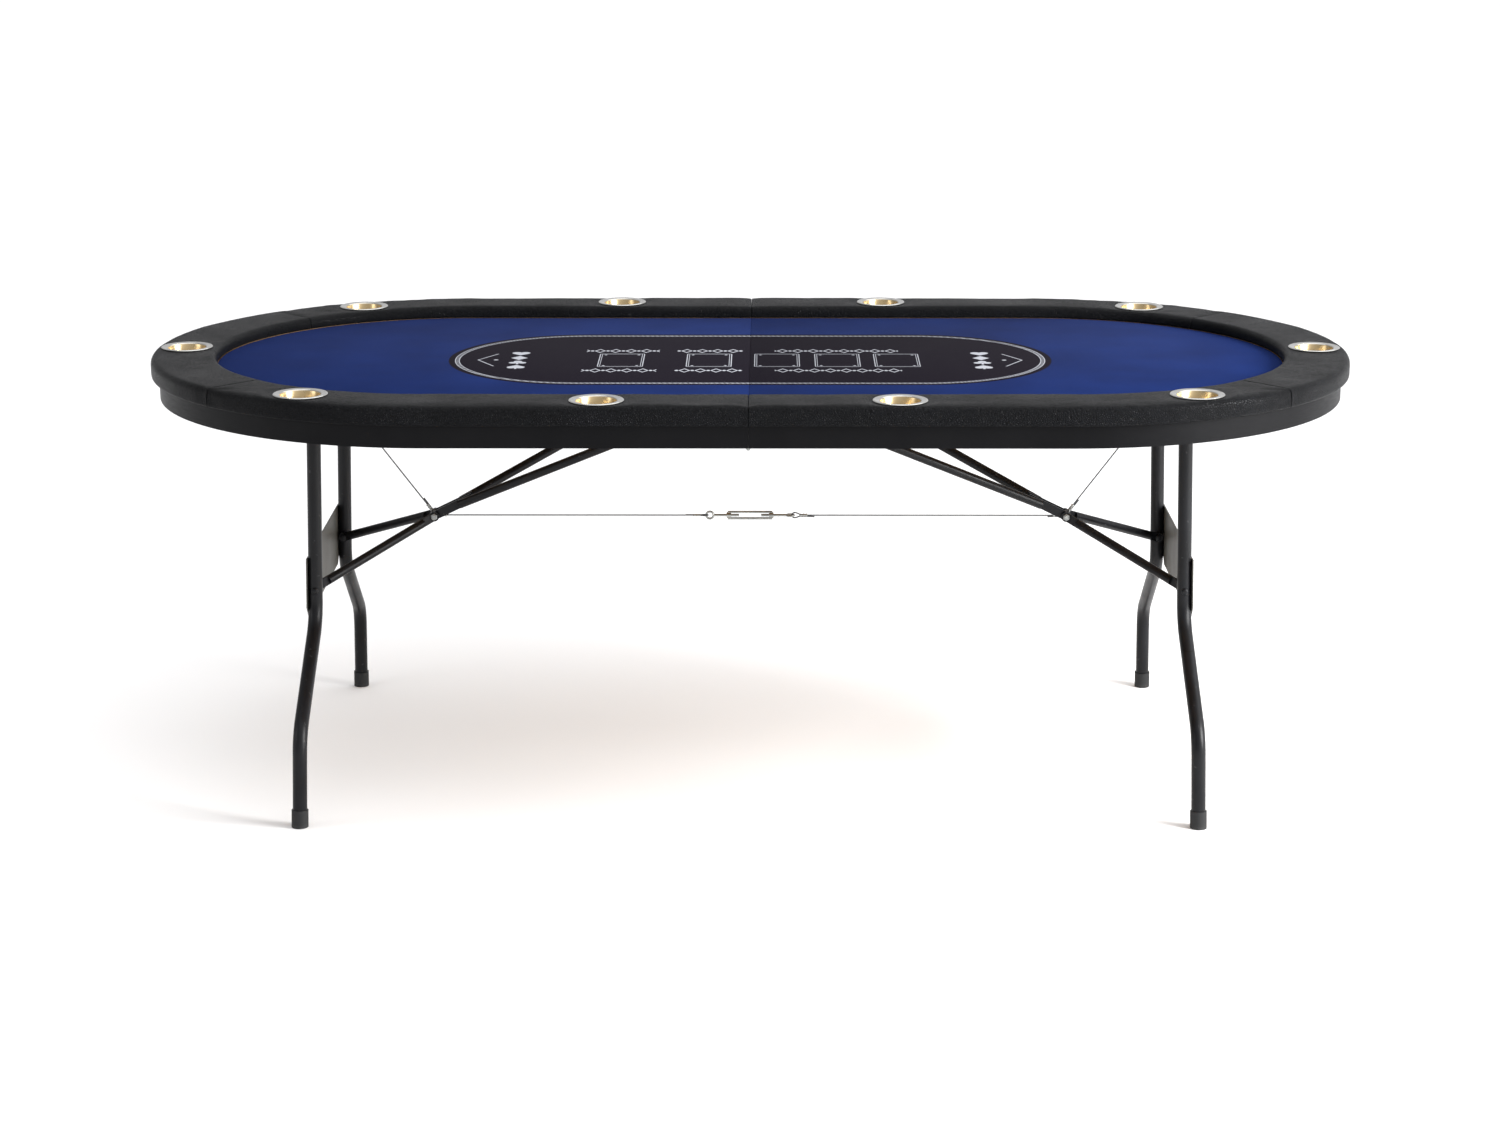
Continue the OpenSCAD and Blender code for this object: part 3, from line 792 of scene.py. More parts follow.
@dataclass
class RailShape:
    """Sizes of the rail, read from the frame."""

    gap: float = 0.12 * MM
    seam: float = math.radians(45)
    wall: float = 6 * MM
    round: float = 11 * MM
    outer: float = 0.0
    inner: float = 0.0
    end_x: float = 0.0
    top: float = 0.0
    lip_z: float = 0.0
    lip_r: float = 0.0
    core_z: float = 0.0
    felt_z: float = 0.0
    start_x: float = 0.0

    def read(self) -> None:
        """Read the sizes from the frame's nodes."""
        low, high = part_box("right_end_pad")
        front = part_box("right_front_pad")[0]
        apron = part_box("right_apron")[1]
        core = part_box("right_rail_core")
        self.outer = -front.y
        self.start_x = min(front.x, self.gap)
        self.end_x = high.x - self.outer
        self.top = high.z
        self.lip_z = low.z
        self.lip_r = apron.y + 1.5 * MM
        self.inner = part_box("right_felt")[1].y + 0.4 * MM
        self.felt_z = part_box("right_felt")[1].z
        self.core_z = core[1].z + 0.2 * MM


@dataclass
class PaddedRail:
    """The six padded lengths of rail: foam under leatherette, puffed by a cloth run, then pressed
    flat under each cup rim and gathered beside the seams."""

    shape: RailShape
    palette: Palette
    swell: float = 1.9 * MM
    swept: float = 7.5 * MM
    plump: dict[Segment, bpy.types.Object] = field(default_factory=dict)

    def section(self, bm: bmesh.types.BMesh) -> bmesh.types.BMFace:
        """Draw the pad's section as one face in the XZ plane, radius along X.

        Args:
            bm: Mesh that takes the face.

        Returns:
            The face.
        """
        s = self.shape
        corners = [
            (s.lip_r, s.lip_z), (s.outer, s.lip_z), (s.outer, s.top), (s.inner, s.top),
            (s.inner, s.felt_z + 0.5 * MM), (s.inner + s.wall, s.felt_z + 0.5 * MM),
            (s.inner + s.wall, s.core_z), (s.lip_r, s.core_z),
        ]
        points = [bm.verts.new((r, 0.0, z)) for r, z in corners]
        bm.faces.new(points)
        for index, offset, segments in ((1, 3 * MM, 2), (2, s.round, 5), (3, s.round, 5)):
            bmesh.ops.bevel(
                bm, geom=[points[index]], offset=offset, offset_type="OFFSET", segments=segments,
                profile=0.5, affect="VERTICES", material=-1,
            )
        for edge in list(bm.edges):
            cuts = int(edge.calc_length() / (5.5 * MM))
            if cuts:
                bmesh.ops.subdivide_edges(bm, edges=[edge], cuts=cuts)
        return next(iter(bm.faces))

    def sweep(self, segment: Segment) -> bmesh.types.BMesh:
        """Sweep the section along one pad of the right half.

        Args:
            segment: Which pad; the front one is the back one mirrored.

        Returns:
            The closed pad, its ends rounded over.
        """
        s = self.shape
        bm = bmesh.new()
        self.section(bm)
        is_end = segment is Segment.END
        slip = s.gap / s.outer
        start = -s.seam + slip if is_end else s.seam + slip
        stop = s.seam - slip if is_end else math.pi / 2
        bmesh.ops.rotate(bm, verts=bm.verts, cent=(0, 0, 0), matrix=Matrix.Rotation(start, 3, "Z"))
        bmesh.ops.translate(bm, verts=bm.verts, vec=(s.end_x, 0, 0))
        steps = round((stop - start) * s.outer / self.swept)
        made = bmesh.ops.spin(
            bm, geom=[*bm.verts, *bm.edges, *bm.faces], cent=(s.end_x, 0, 0), axis=(0, 0, 1),
            angle=stop - start, steps=steps,
        )
        tip = [g for g in made["geom_last"] if isinstance(g, bmesh.types.BMFace)]
        if not is_end:
            run = s.end_x - s.start_x
            count = round(run / self.swept)
            for _ in range(count):
                pulled = bmesh.ops.extrude_face_region(bm, geom=tip)
                bmesh.ops.delete(bm, geom=tip, context="FACES_ONLY")
                tip = [g for g in pulled["geom"] if isinstance(g, bmesh.types.BMFace)]
                moved = [g for g in pulled["geom"] if isinstance(g, bmesh.types.BMVert)]
                bmesh.ops.translate(bm, verts=moved, vec=(-run / count, 0, 0))
        tidy_faces(bm)
        self.round_ends(bm)
        return bm

    def round_ends(self, bm: bmesh.types.BMesh) -> None:
        """Roll the leatherette over at both ends of a pad."""
        caps = [f for f in bm.faces if len(f.verts) > 8]
        rims = dict.fromkeys(
            e for f in caps for e in f.edges
            if all(self.is_skin(v.co) for v in e.verts) and self.depth(e) < 1
        )
        bmesh.ops.bevel(
            bm, geom=list(rims), offset=3.5 * MM, offset_type="OFFSET", segments=3, profile=0.5,
            affect="EDGES", material=-1, clamp_overlap=True,
        )
        caps = [f for f in bm.faces if len(f.verts) > 8]
        bmesh.ops.triangulate(bm, faces=caps)
        bmesh.ops.recalc_face_normals(bm, faces=bm.faces)
        in_order(bm)

    def depth(self, edge: bmesh.types.BMEdge) -> float:
        """Return nought for an edge that borders an end cap and one for others."""
        return 0.0 if any(len(f.verts) > 8 for f in edge.link_faces) else 1.0

    def radius(self, co: Vector) -> float:
        """Return a point's distance from the rail's spine, as the section measures it."""
        s = self.shape
        return math.hypot(co.x - s.end_x, co.y) if co.x > s.end_x else abs(co.y)

    def is_skin(self, co: Vector) -> bool:
        """Return whether a point is on the leatherette that shows."""
        s = self.shape
        r = self.radius(co)
        return r > s.outer - 1.2 * MM or r < s.inner + 0.8 * MM or co.z > s.top - 6 * MM

    def hold(self, co: Vector, capped: bool) -> float:
        """Return how firmly a point is stapled down, from nought to one."""
        s = self.shape
        if capped or not self.is_skin(co):
            return 1.0
        r = self.radius(co)
        if r > s.outer - 3.5 * MM:
            return 1 - step(co.z, s.lip_z + 2 * MM, s.lip_z + 9 * MM)
        if r < s.inner + 1 * MM:
            return 1 - step(co.z, s.felt_z + 2 * MM, s.felt_z + 9 * MM)
        return 0.0

    def puff(self, segment: Segment) -> bpy.types.Object:
        """Build one pad and puff it with a cloth run under slight pressure.

        Args:
            segment: Which pad.

        Returns:
            The puffed pad of the right half, ready to be copied.
        """
        bm = self.sweep(segment)
        bm.verts.index_update()
        pins = [self.hold(v.co, any(len(f.verts) == 3 for f in v.link_faces)) for v in bm.verts]
        pad = put(f"pad_form_{segment.value}", bm)
        rest = [v.co.copy() for v in pad.data.vertices]
        group = pad.vertex_groups.new(name="stapled")
        for index, weight in enumerate(pins):
            group.add([index], weight, "REPLACE")
        self.run_cloth(pad)
        for vertex, old, pin in zip(pad.data.vertices, rest, pins):
            move = vertex.co - old
            size = move.length
            if size > 0:
                vertex.co = old + move * (self.swell / (self.swell + size)) * (1 - pin)
        log.info("%s puffed, %d points", segment.value, len(rest))
        return pad

    def run_cloth(self, pad: bpy.types.Object) -> None:
        """Run the cloth for twenty frames and apply it.

        Args:
            pad: Closed pad with the group of stapled points.
        """
        modifier = pad.modifiers.new("cloth", "CLOTH")
        settings = modifier.settings
        settings.quality = 5
        settings.mass = 0.35
        settings.tension_stiffness = 18
        settings.compression_stiffness = 18
        settings.shear_stiffness = 8
        settings.bending_stiffness = 1.2
        settings.use_pressure = True
        settings.uniform_pressure_force = 4.0
        settings.vertex_group_mass = "stapled"
        settings.effector_weights.gravity = 0
        modifier.collision_settings.use_collision = False
        scene = bpy.context.scene
        for frame_number in range(1, 21):
            scene.frame_set(frame_number)
        graph = bpy.context.evaluated_depsgraph_get()
        shaped = pad.evaluated_get(graph).data
        done = [v.co.copy() for v in shaped.vertices]
        pad.modifiers.clear()
        for vertex, co in zip(pad.data.vertices, done):
            vertex.co = co
        scene.frame_set(1)

    def cups_on(self, segment: Segment) -> list[Vector]:
        """Return the middles of the cups that stand in a pad, on the right half's own places."""
        places = CupHolders.places()
        if segment is Segment.END:
            return [p for p in places if abs(p.y) < 0.05]
        return [p for p in places if p.y > 0.05]

    def finish_form(self, form: bpy.types.Object, segment: Segment) -> None:
        """Press the pad under its cup rims, add the hand-made unevenness, and refine it."""
        s = self.shape
        cups = self.cups_on(segment)
        for vertex in form.data.vertices:
            co = vertex.co
            if not self.is_skin(co):
                continue
            free = 1 - self.hold(co, False)
            lift = noise.noise(co * 14.0) * 0.9 * MM + noise.noise(co * 45.0) * 0.35 * MM
            co.z += lift * step(co.z, s.top - 9 * MM, s.top)
            press = max((1 - step((co.xy - p.xy).length, 0.047, 0.072) for p in cups), default=0.0)
            over = co.z - (s.top - 0.4 * MM)
            if over > 0:
                co.z -= over * press
            self.gather(co, free)
        refined = form.modifiers.new("refine", "SUBSURF")
        refined.levels = refined.render_levels = 1
        self.bore(form, cups)

    def gather(self, co: Vector, free: float) -> None:
        """Add the small upright folds where the skin is drawn round beside a seam.

        Args:
            co: Point that moves.
            free: Share of the movement that the staples allow.
        """
        s = self.shape
        if co.x <= s.end_x:
            return
        angle = math.atan2(abs(co.y), co.x - s.end_x)
        off = abs(angle - s.seam) * s.outer
        side = step(self.radius(co), s.outer - 7 * MM, s.outer - 1 * MM)
        wave = math.sin(off / (8.5 * MM) * 2 * math.pi + 2.2 * noise.noise(co * 30.0))
        depth = 0.9 * MM * math.exp(-off / (38 * MM)) * (wave - 0.5) * side * (0.35 + 0.65 * free)
        out = Vector((co.x - s.end_x, co.y, 0)).normalized()
        co += out * depth

    def bore(self, form: bpy.types.Object, cups: list[Vector]) -> None:
        """Cut the cup openings through a pad and apply all that is live on it.

        Args:
            form: Pad to cut.
            cups: Middles of the cups.
        """
        bm = bmesh.new()
        radius = CupHolders.bore + 2 * MM
        for p in cups:
            bmesh.ops.create_cone(
                bm, cap_ends=True, segments=64, radius1=radius, radius2=radius, depth=0.2,
                matrix=Matrix.Translation((p.x, p.y, self.shape.top)),
            )
        drill = put("pad_drill", bm)
        cut = form.modifiers.new("cup_openings", "BOOLEAN")
        cut.operation, cut.solver, cut.object = "DIFFERENCE", "EXACT", drill
        graph = bpy.context.evaluated_depsgraph_get()
        cut_mesh = bpy.data.meshes.new_from_object(form.evaluated_get(graph))
        form.modifiers.clear()
        form.data = cut_mesh
        bpy.data.objects.remove(drill)

    def build(self) -> list[bpy.types.Object]:
        """Build the six pads.

        Returns:
            The pads.
        """
        for segment in (Segment.END, Segment.BACK):
            form = self.puff(segment)
            self.finish_form(form, segment)
            self.plump[segment] = form
        pads = []
        for side in Side:
            for segment in Segment:
                source = self.plump[Segment.BACK if segment is Segment.FRONT else segment]
                bm = bmesh.new()
                bm.from_mesh(source.data)
                flip = Matrix.Diagonal((side.value, -1 if segment is Segment.FRONT else 1, 1, 1))
                bmesh.ops.transform(bm, matrix=flip, verts=bm.verts)
                bmesh.ops.recalc_face_normals(bm, faces=bm.faces)
                pad = put(side.node(f"rail_{segment.value}"), bm, 50)
                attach(pad, side.node("top"))
                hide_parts(side.node(segment.value))
                self.palette.dress(pad, Slot.RAIL)
                pads.append(pad)
        for form in self.plump.values():
            bpy.data.objects.remove(form)
        log.info("padded rail: %d pads", len(pads))
        return pads


# ---------------------------------------------------------------- deck


@dataclass
class PlayingCloth:
    """The printed cloth, stretched over each half's playing panel and rolled over at its edge."""

    shape: RailShape
    palette: Palette
    thick: float = 1.2 * MM

    def build(self) -> None:
        """Build a sheet for each half."""
        for side in Side:
            low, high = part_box(side.node("felt"))
            straight = self.shape.end_x - self.shape.start_x
            radius = (high.y - low.y) / 2
            bm = bmesh.new()
            corners = [(straight, -radius), (0.0, -radius), (0.0, radius), (straight, radius)]
            points = [bm.verts.new((x + self.shape.start_x, y, high.z)) for x, y in corners]
            for pair in zip(points, points[1:]):
                bm.edges.new(pair)
            bmesh.ops.spin(
                bm, geom=[points[0]], cent=(self.shape.end_x, 0, high.z), axis=(0, 0, 1),
                angle=math.pi, steps=96,
            )
            bmesh.ops.remove_doubles(bm, verts=bm.verts, dist=1e-6)
            bmesh.ops.contextual_create(bm, geom=bm.edges)
            bmesh.ops.recalc_face_normals(bm, faces=bm.faces)
            if next(iter(bm.faces)).normal.z < 0:
                bmesh.ops.reverse_faces(bm, faces=bm.faces)
            area = sum(f.calc_area() for f in bm.faces)
            pulled = bmesh.ops.extrude_face_region(bm, geom=list(bm.faces))
            deep = [g for g in pulled["geom"] if isinstance(g, bmesh.types.BMVert)]
            bmesh.ops.translate(bm, verts=deep, vec=(0, 0, -self.thick))
            bmesh.ops.recalc_face_normals(bm, faces=bm.faces)
            rim = [e for e in bm.edges if all(v.co.z > high.z - 1e-5 for v in e.verts)]
            bmesh.ops.bevel(
                bm, geom=rim, offset=0.5 * MM, offset_type="OFFSET", segments=2, profile=0.5,
                affect="EDGES", material=-1,
            )
            if side is Side.LEFT:
                bmesh.ops.transform(bm, matrix=Matrix.Diagonal((-1, 1, 1, 1)), verts=bm.verts)
                bmesh.ops.recalc_face_normals(bm, faces=bm.faces)
            sheet = put(side.node("playing_cloth"), bm)
            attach(sheet, side.node("top"))
            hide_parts(side.node("felt"))
            self.palette.dress(sheet, Slot.FELT)
            side.node("deck_board")
            log.info("%s playing cloth, %.3f square metres", side.name.lower(), area)


@dataclass
class CupHolders:
    """The ten drop-in cups: a spun shell with a rolled, polished rim."""

    palette: Palette
    bore: float = 34.6 * MM
    shell: float = 1 * MM

    @staticmethod
    def places() -> list[Vector]:
        """Return the middles of the right half's cups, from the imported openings' boxes."""
        openings = frame["record"]["physics"]["openings"]
        found = []
        for opening in openings:
            if opening["name"].startswith("right_") and opening["name"].endswith("_cup"):
                low, high = (Vector(corner) for corner in opening["box_m"])
                found.append((low + high) / 2)
        return found

    def outline(self) -> list[tuple[float, float]]:
        """Return the shell's outline, from the outer middle of the base round to the inner one."""
        low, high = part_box("right_cup_holders")
        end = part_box("right_end_pad")[1].z
        rim = 45.85 * MM
        r = self.bore
        z = low.z
        return [
            (0, z), (r - 4 * MM, z), (r - 1.6 * MM, z + 0.5 * MM), (r - 0.4 * MM, z + 2 * MM),
            (r, z + 4 * MM), (r, end - 1 * MM), (r + 1 * MM, end), (rim - 1.2 * MM, end),
            (rim - 0.2 * MM, end + 0.3 * MM), (rim, end + 0.8 * MM), (rim - 0.3 * MM, end + 1.3 * MM),
            (rim - 1.2 * MM, end + 1.8 * MM), (rim - 2.6 * MM, high.z),
            (rim - 4.2 * MM, high.z - 0.25 * MM),
            (rim - 5.4 * MM, high.z - 0.7 * MM), (r + 4 * MM, high.z - 0.7 * MM),
            (r + 1.4 * MM, high.z - 0.9 * MM), (r - 0.2 * MM, high.z - 1.8 * MM),
            (r - self.shell, high.z - 3.4 * MM), (r - self.shell, z + 5 * MM),
            (r - 1.5 * MM, z + 3 * MM), (r - 2.8 * MM, z + 1.6 * MM), (r - 5 * MM, z + self.shell),
            (0, z + self.shell),
        ]

    def build(self) -> None:
        """Turn the cups of each half."""
        for side in Side:
            bm = bmesh.new()
            for p in self.places():
                axis = Matrix.Translation((p.x * side.value, p.y, 0))
                turned(bm, self.outline(), axis, 72)
            tidy_faces(bm)
            cups = put(side.node("cups"), bm, 50)
            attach(cups, side.node("top"))
            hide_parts(side.node("cup_holders"))
            self.palette.dress(cups, Slot.CUP)
            log.info("%s cups", side.name.lower())


@dataclass
class Woodwork:
    """Deck boards, battens, rail cores and aprons, which keep the frame's own shapes."""

    palette: Palette

    def build(self) -> None:
        """Dress the carried-over woodwork."""
        for side in Side:
            for part, slot in (
                ("deck_board", Slot.PLYWOOD), ("fold_battens", Slot.PLYWOOD),
                ("rail_core", Slot.PLYWOOD), ("apron", Slot.APRON),
            ):
                self.palette.dress(frame["nodes"][side.node(part)], slot)
            self.edge_tape(side)
        log.info("woodwork dressed")

    def edge_tape(self, side: Side) -> None:
        """Set thin black strips on the sawn edges where the halves meet, which shut out the light: dark sheets
        standing in as painted shade for the fold gap.
        """
        low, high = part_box(side.node("deck_board"))
        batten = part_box(side.node("fold_battens"))[0]
        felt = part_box(side.node("felt"))[1]
        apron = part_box(side.node("apron"))
        gap = min(abs(low.x), abs(high.x))
        bm = bmesh.new()
        for near, far, base, top in (
            (low.y + 1 * MM, high.y - 1 * MM, low.z + 0.3 * MM, high.z - 0.3 * MM),
            (batten.y + 1 * MM, -batten.y - 1 * MM, felt.z - 3.6 * MM, felt.z - 1.6 * MM),
            (apron[0].y + 1 * MM, apron[0].y + 6 * MM, apron[0].z + 0.5 * MM, apron[1].z - 0.5 * MM),
            (apron[1].y - 6 * MM, apron[1].y - 1 * MM, apron[0].z + 0.5 * MM, apron[1].z - 0.5 * MM),
        ):
            if abs(near) < apron[1].y - 8 * MM and base > high.z - 1 * MM:
                near, far = max(near, -felt.y), min(far, felt.y)
            size = Matrix.Diagonal((gap - 0.06 * MM, far - near, top - base, 1))
            middle = Vector((side.value * (gap + 0.06 * MM) / 2, (near + far) / 2, (base + top) / 2))
            bmesh.ops.create_cube(bm, size=1.0, matrix=Matrix.Translation(middle) @ size)
        bmesh.ops.bevel(
            bm, geom=list(bm.edges), offset=0.1 * MM, offset_type="OFFSET", segments=1, profile=0.5,
            affect="EDGES", material=-1,
        )
        # painted shade: black strips stand in for the shadow in the gap between the halves
        shade_strip = put(side.node("edge_tape"), bm)
        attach(shade_strip, side.node("top"))
        self.palette.dress(shade_strip, Slot.FOOT)


# ---------------------------------------------------------------- undercarriage


@dataclass
class Undercarriage:
    """Leg frames, braces, brackets and hinges, with real bolt heads and nuts."""

    palette: Palette
    across: float = 12 * MM

    def build(self) -> None:
        """Dress the carried-over steelwork and add the fixings."""
        slots = {
            "front_leg": Slot.LEG, "back_leg": Slot.LEG, "leg_axle": Slot.LEG,
            "upper_braces": Slot.LEG, "lower_braces": Slot.LEG, "leg_brackets": Slot.LEG,
            "brace_brackets": Slot.LEG, "leg_gusset": Slot.GUSSET, "foot_caps": Slot.FOOT,
            "hinge_leaves": Slot.ZINC, "rail_screws": Slot.ZINC, "bracket_screws": Slot.ZINC,
            "knuckle_bolt": Slot.ZINC,
        }
        for side in Side:
            for part, slot in slots.items():
                self.palette.dress(frame["nodes"][side.node(part)], slot)
            self.leg_bolts(side)
            self.knuckle_nuts(side)
        self.palette.dress(frame["nodes"]["hinge_pins"], Slot.ZINC)
        log.info("undercarriage dressed")

    def leg_bolts(self, side: Side) -> None:
        """Build the two bolts that carry the braces on a leg frame."""
        low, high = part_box(side.node("leg_bolts"))
        x, z = (low.x + high.x) / 2, (low.z + high.z) / 2
        bm = bmesh.new()
        for s in (-1, 1):
            head = high.y - 4 * MM
            inner = head - 37.5 * MM
            turn = Matrix.Identity(4) if s > 0 else Matrix.Rotation(math.pi, 4, "Z")
            spot = Matrix.Translation((x, 0, z)) @ turn
            shank = spot @ along_y(0, inner + 1 * MM, 0)
            collar = [
                (0, 0), (3.6 * MM, 0), (3.9 * MM, 0.4 * MM), (3.9 * MM, head - inner), (0, head - inner)
            ]
            turned(bm, collar, shank, 32)
            dome = spot @ along_y(0, head, 0)
            turned(
                bm, [(0, 0), (6.4 * MM, 0), (6.4 * MM, 0.7 * MM), (6 * MM, 1.7 * MM), (4.9 * MM, 2.8 * MM),
                     (3 * MM, 3.6 * MM), (1.2 * MM, 3.95 * MM), (0, 4 * MM)], dome, 40,
            )
            nut = spot @ along_y(0, inner + 2.5 * MM, 0) @ Matrix.Rotation(math.pi, 4, "X")
            hexagon(bm, nut, self.across * 0.9, 3 * MM)
        tidy_faces(bm)
        bolts = put(side.node("brace_bolts"), bm)
        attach(bolts, side.node("leg"))
        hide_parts(side.node("leg_bolts"))
        self.palette.dress(bolts, Slot.LEG)

    def knuckle_nuts(self, side: Side) -> None:
        """Build the locknuts on the knuckle's two ends."""
        low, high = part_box(side.node("knuckle_nuts"))
        x, z = (low.x + high.x) / 2, (low.z + high.z) / 2
        bm = bmesh.new()
        for s in (-1, 1):
            turn = Matrix.Identity(4) if s > 0 else Matrix.Rotation(math.pi, 4, "Z")
            spot = Matrix.Translation((x, 0, z)) @ turn
            seat = high.y - 4.5 * MM
            turned(
                bm, [(0, 0), (3.9 * MM, 0), (3.9 * MM, 9.2 * MM), (3.3 * MM, 9.9 * MM), (0, 9.9 * MM)],
                spot @ along_y(0, seat - 5.5 * MM, 0), 32,
            )
            hexagon(bm, spot @ along_y(0, seat, 0), self.across * 0.92, 3.6 * MM)
        tidy_faces(bm)
        nuts = put(side.node("knuckle_locknuts"), bm)
        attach(nuts, side.node("lower_brace"))
        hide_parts(side.node("knuckle_nuts"))
        self.palette.dress(nuts, Slot.ZINC)


@dataclass
class Rigging:
    """Stay cables, and the tie line with its turnbuckle: laid rope, drawn loops and pressed ferrules."""

    palette: Palette
    rope_r: float = 1.25 * MM

    def rope(self, name: str, points: Sequence[Vector], closed: bool = False) -> bpy.types.Object:
        """Draw a length of rope through points.

        Args:
            name: Name of the piece.
            points: Points of its centreline.
            closed: Whether it comes back to its start.

        Returns:
            The rope as a mesh.
        """
        curve = bpy.data.curves.new(name, "CURVE")
        curve.dimensions = "3D"
        curve.bevel_depth = self.rope_r
        curve.bevel_resolution = 3
        curve.use_fill_caps = True
        spline = curve.splines.new("BEZIER")
        spline.bezier_points.add(len(points) - 1)
        for knot, co in zip(spline.bezier_points, points):
            knot.co = co
            knot.handle_left_type = knot.handle_right_type = "AUTO"
        spline.use_cyclic_u = closed
        spline.resolution_u = 12
        piece = bpy.data.objects.new(name, curve)
        bpy.context.scene.collection.objects.link(piece)
        graph = bpy.context.evaluated_depsgraph_get()
        mesh = bpy.data.meshes.new_from_object(piece.evaluated_get(graph))
        bpy.data.objects.remove(piece)
        made = bpy.data.objects.new(name, mesh)
        bpy.context.scene.collection.objects.link(made)
        return made

    def loop(self, eye: Vector, along: Vector, reach: float, radius: float, tilt: Vector) -> list[Vector]:
        """Return the points of a drawn loop: round the eye and back into its ferrule.

        Args:
            eye: Middle of what the loop goes round.
            along: Direction from the eye to the rope.
            reach: Distance from the eye to the ferrule.
            radius: Radius of the loop.
            tilt: Direction of the loop's width.

        Returns:
            Points from the ferrule, round the eye and back.
        """
        throat = eye + along * reach
        side = tilt * radius
        return [
            throat + tilt * self.rope_r * 0.95, eye + along * radius * 0.9 + side * 0.8, eye + side,
            eye - along * radius * 0.72 + side * 0.72, eye - along * radius,
            eye - along * radius * 0.72 - side * 0.72, eye - side,
            eye + along * radius * 0.9 - side * 0.8, throat - tilt * self.rope_r * 0.95,
        ]

    def ferrule(self, bm: bmesh.types.BMesh, start: Vector, along: Vector, tilt: Vector) -> None:
        """Press a ferrule on the two ropes: an oval sleeve with two crimp waists.

        Args:
            bm: Mesh that takes it.
            start: Middle of its first end.
            along: Direction it runs.
            tilt: Direction of its longer half-width.
        """
        length, fat, slim = 14 * MM, 3.0 * MM, 2.5 * MM
        across = along.cross(tilt).normalized()
        spin = Matrix((tilt, across, along)).transposed().to_4x4()
        place = Matrix.Translation(start) @ spin
        outline = [(0, 0), (slim, 0), (fat, 0.5 * MM)]
        for waist in (4.2 * MM, 9.8 * MM):
            outline += [
                (fat, waist - 1.8 * MM), (slim, waist - 0.8 * MM),
                (slim, waist + 0.8 * MM), (fat, waist + 1.8 * MM),
            ]
        outline += [(fat, length - 0.5 * MM), (slim, length), (0, length)]
        new = turned(bm, outline, place, 28)
        squeeze = place @ Matrix.Diagonal((1, 0.72, 1, 1)) @ place.inverted()
        bmesh.ops.transform(bm, matrix=squeeze, verts=new)

    def joined(
        self, name: str, parts: Sequence[bpy.types.Object], body: str, *nodes: str
    ) -> bpy.types.Object:
        """Join pieces of rope into one piece that stands for its nodes.

        Args:
            name: Name of the piece.
            parts: Pieces to join; they are removed.
            body: Body it rides on.
            *nodes: Nodes it stands for.

        Returns:
            The joined piece.
        """
        bm = bmesh.new()
        for part in parts:
            bm.from_mesh(part.data)
            bpy.data.objects.remove(part)
        tidy_faces(bm)
        piece = put(name, bm, 50)
        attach(piece, body)
        if nodes:
            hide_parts(*nodes)
        return piece

    def sleeves(self, name: str, body: str, spots: Sequence[tuple[Vector, Vector, Vector]]) -> None:
        """Build the ferrules of one rope.

        Args:
            name: Name of the piece.
            body: Body it rides on.
            spots: Start, direction and tilt of each ferrule.
        """
        bm = bmesh.new()
        for start, along, tilt in spots:
            self.ferrule(bm, start, along, tilt)
        tidy_faces(bm)
        piece = put(name, bm, 50)
        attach(piece, body)
        self.palette.dress(piece, Slot.ZINC)

    def stay(self, side: Side) -> None:
        """Build the stay cable from the leg axle's lug to the knuckle."""
        joints = {j["name"]: j for j in frame["joints"]}
        lug = Vector(joints[side.node("stay_swing")]["pos_m"])
        low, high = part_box(side.node("knuckle_bolt"))
        cable_low, cable_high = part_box(side.node("stay_cable"))
        y = (cable_low.y + cable_high.y) / 2
        knuckle = Vector(((low.x + high.x) / 2, y, (low.z + high.z) / 2))
        lug.y = y
        along = (knuckle - lug).normalized()
        tilt = along.cross(Vector((0, 1, 0)))
        top = self.loop(lug, along, 7 * MM, 3.6 * MM, tilt)
        bottom = self.loop(knuckle, -along, 9 * MM, 5.8 * MM, tilt)
        tail = knuckle - along * 36 * MM
        parts = [
            self.rope("stay_top", top), self.rope("stay_bottom", bottom),
            self.rope("stay_run", [lug + along * 8 * MM, knuckle - along * 9 * MM]),
            self.rope("stay_tail", [
                knuckle - along * 9 * MM + tilt * 2.2 * MM, knuckle - along * 24 * MM + tilt * 2.3 * MM,
                tail + tilt * 2.6 * MM,
            ]),
            self.rope("stay_end", [
                lug + along * 8 * MM - tilt * 2.2 * MM, lug + along * 24 * MM - tilt * 2.3 * MM,
                lug + along * 31 * MM - tilt * 3 * MM,
            ]),
        ]
        piece = self.joined(side.node("stay_rope"), parts, side.node("stay"), side.node("stay_cable"))
        self.palette.dress(piece, Slot.ROPE)
        self.sleeves(
            side.node("stay_ferrules"), side.node("stay"),
            [(lug + along * 8 * MM, along, tilt), (knuckle - along * 9 * MM, -along, tilt)],
        )

    def tail(
        self, eye: Vector, along: Vector, aside: Vector, places: Sequence[tuple[float, float]]
    ) -> list[Vector]:
        """Return the route of a rope's cut end, which lies beside the rope past its ferrule.

        Args:
            eye: Middle of the eye that the rope loops through.
            along: Direction of the rope from the eye.
            aside: Direction from the rope to its cut end.
            places: Millimetres along and aside of each point.

        Returns:
            Points of the route.
        """
        return [eye + (along * reach + aside * away) * MM for reach, away in places]

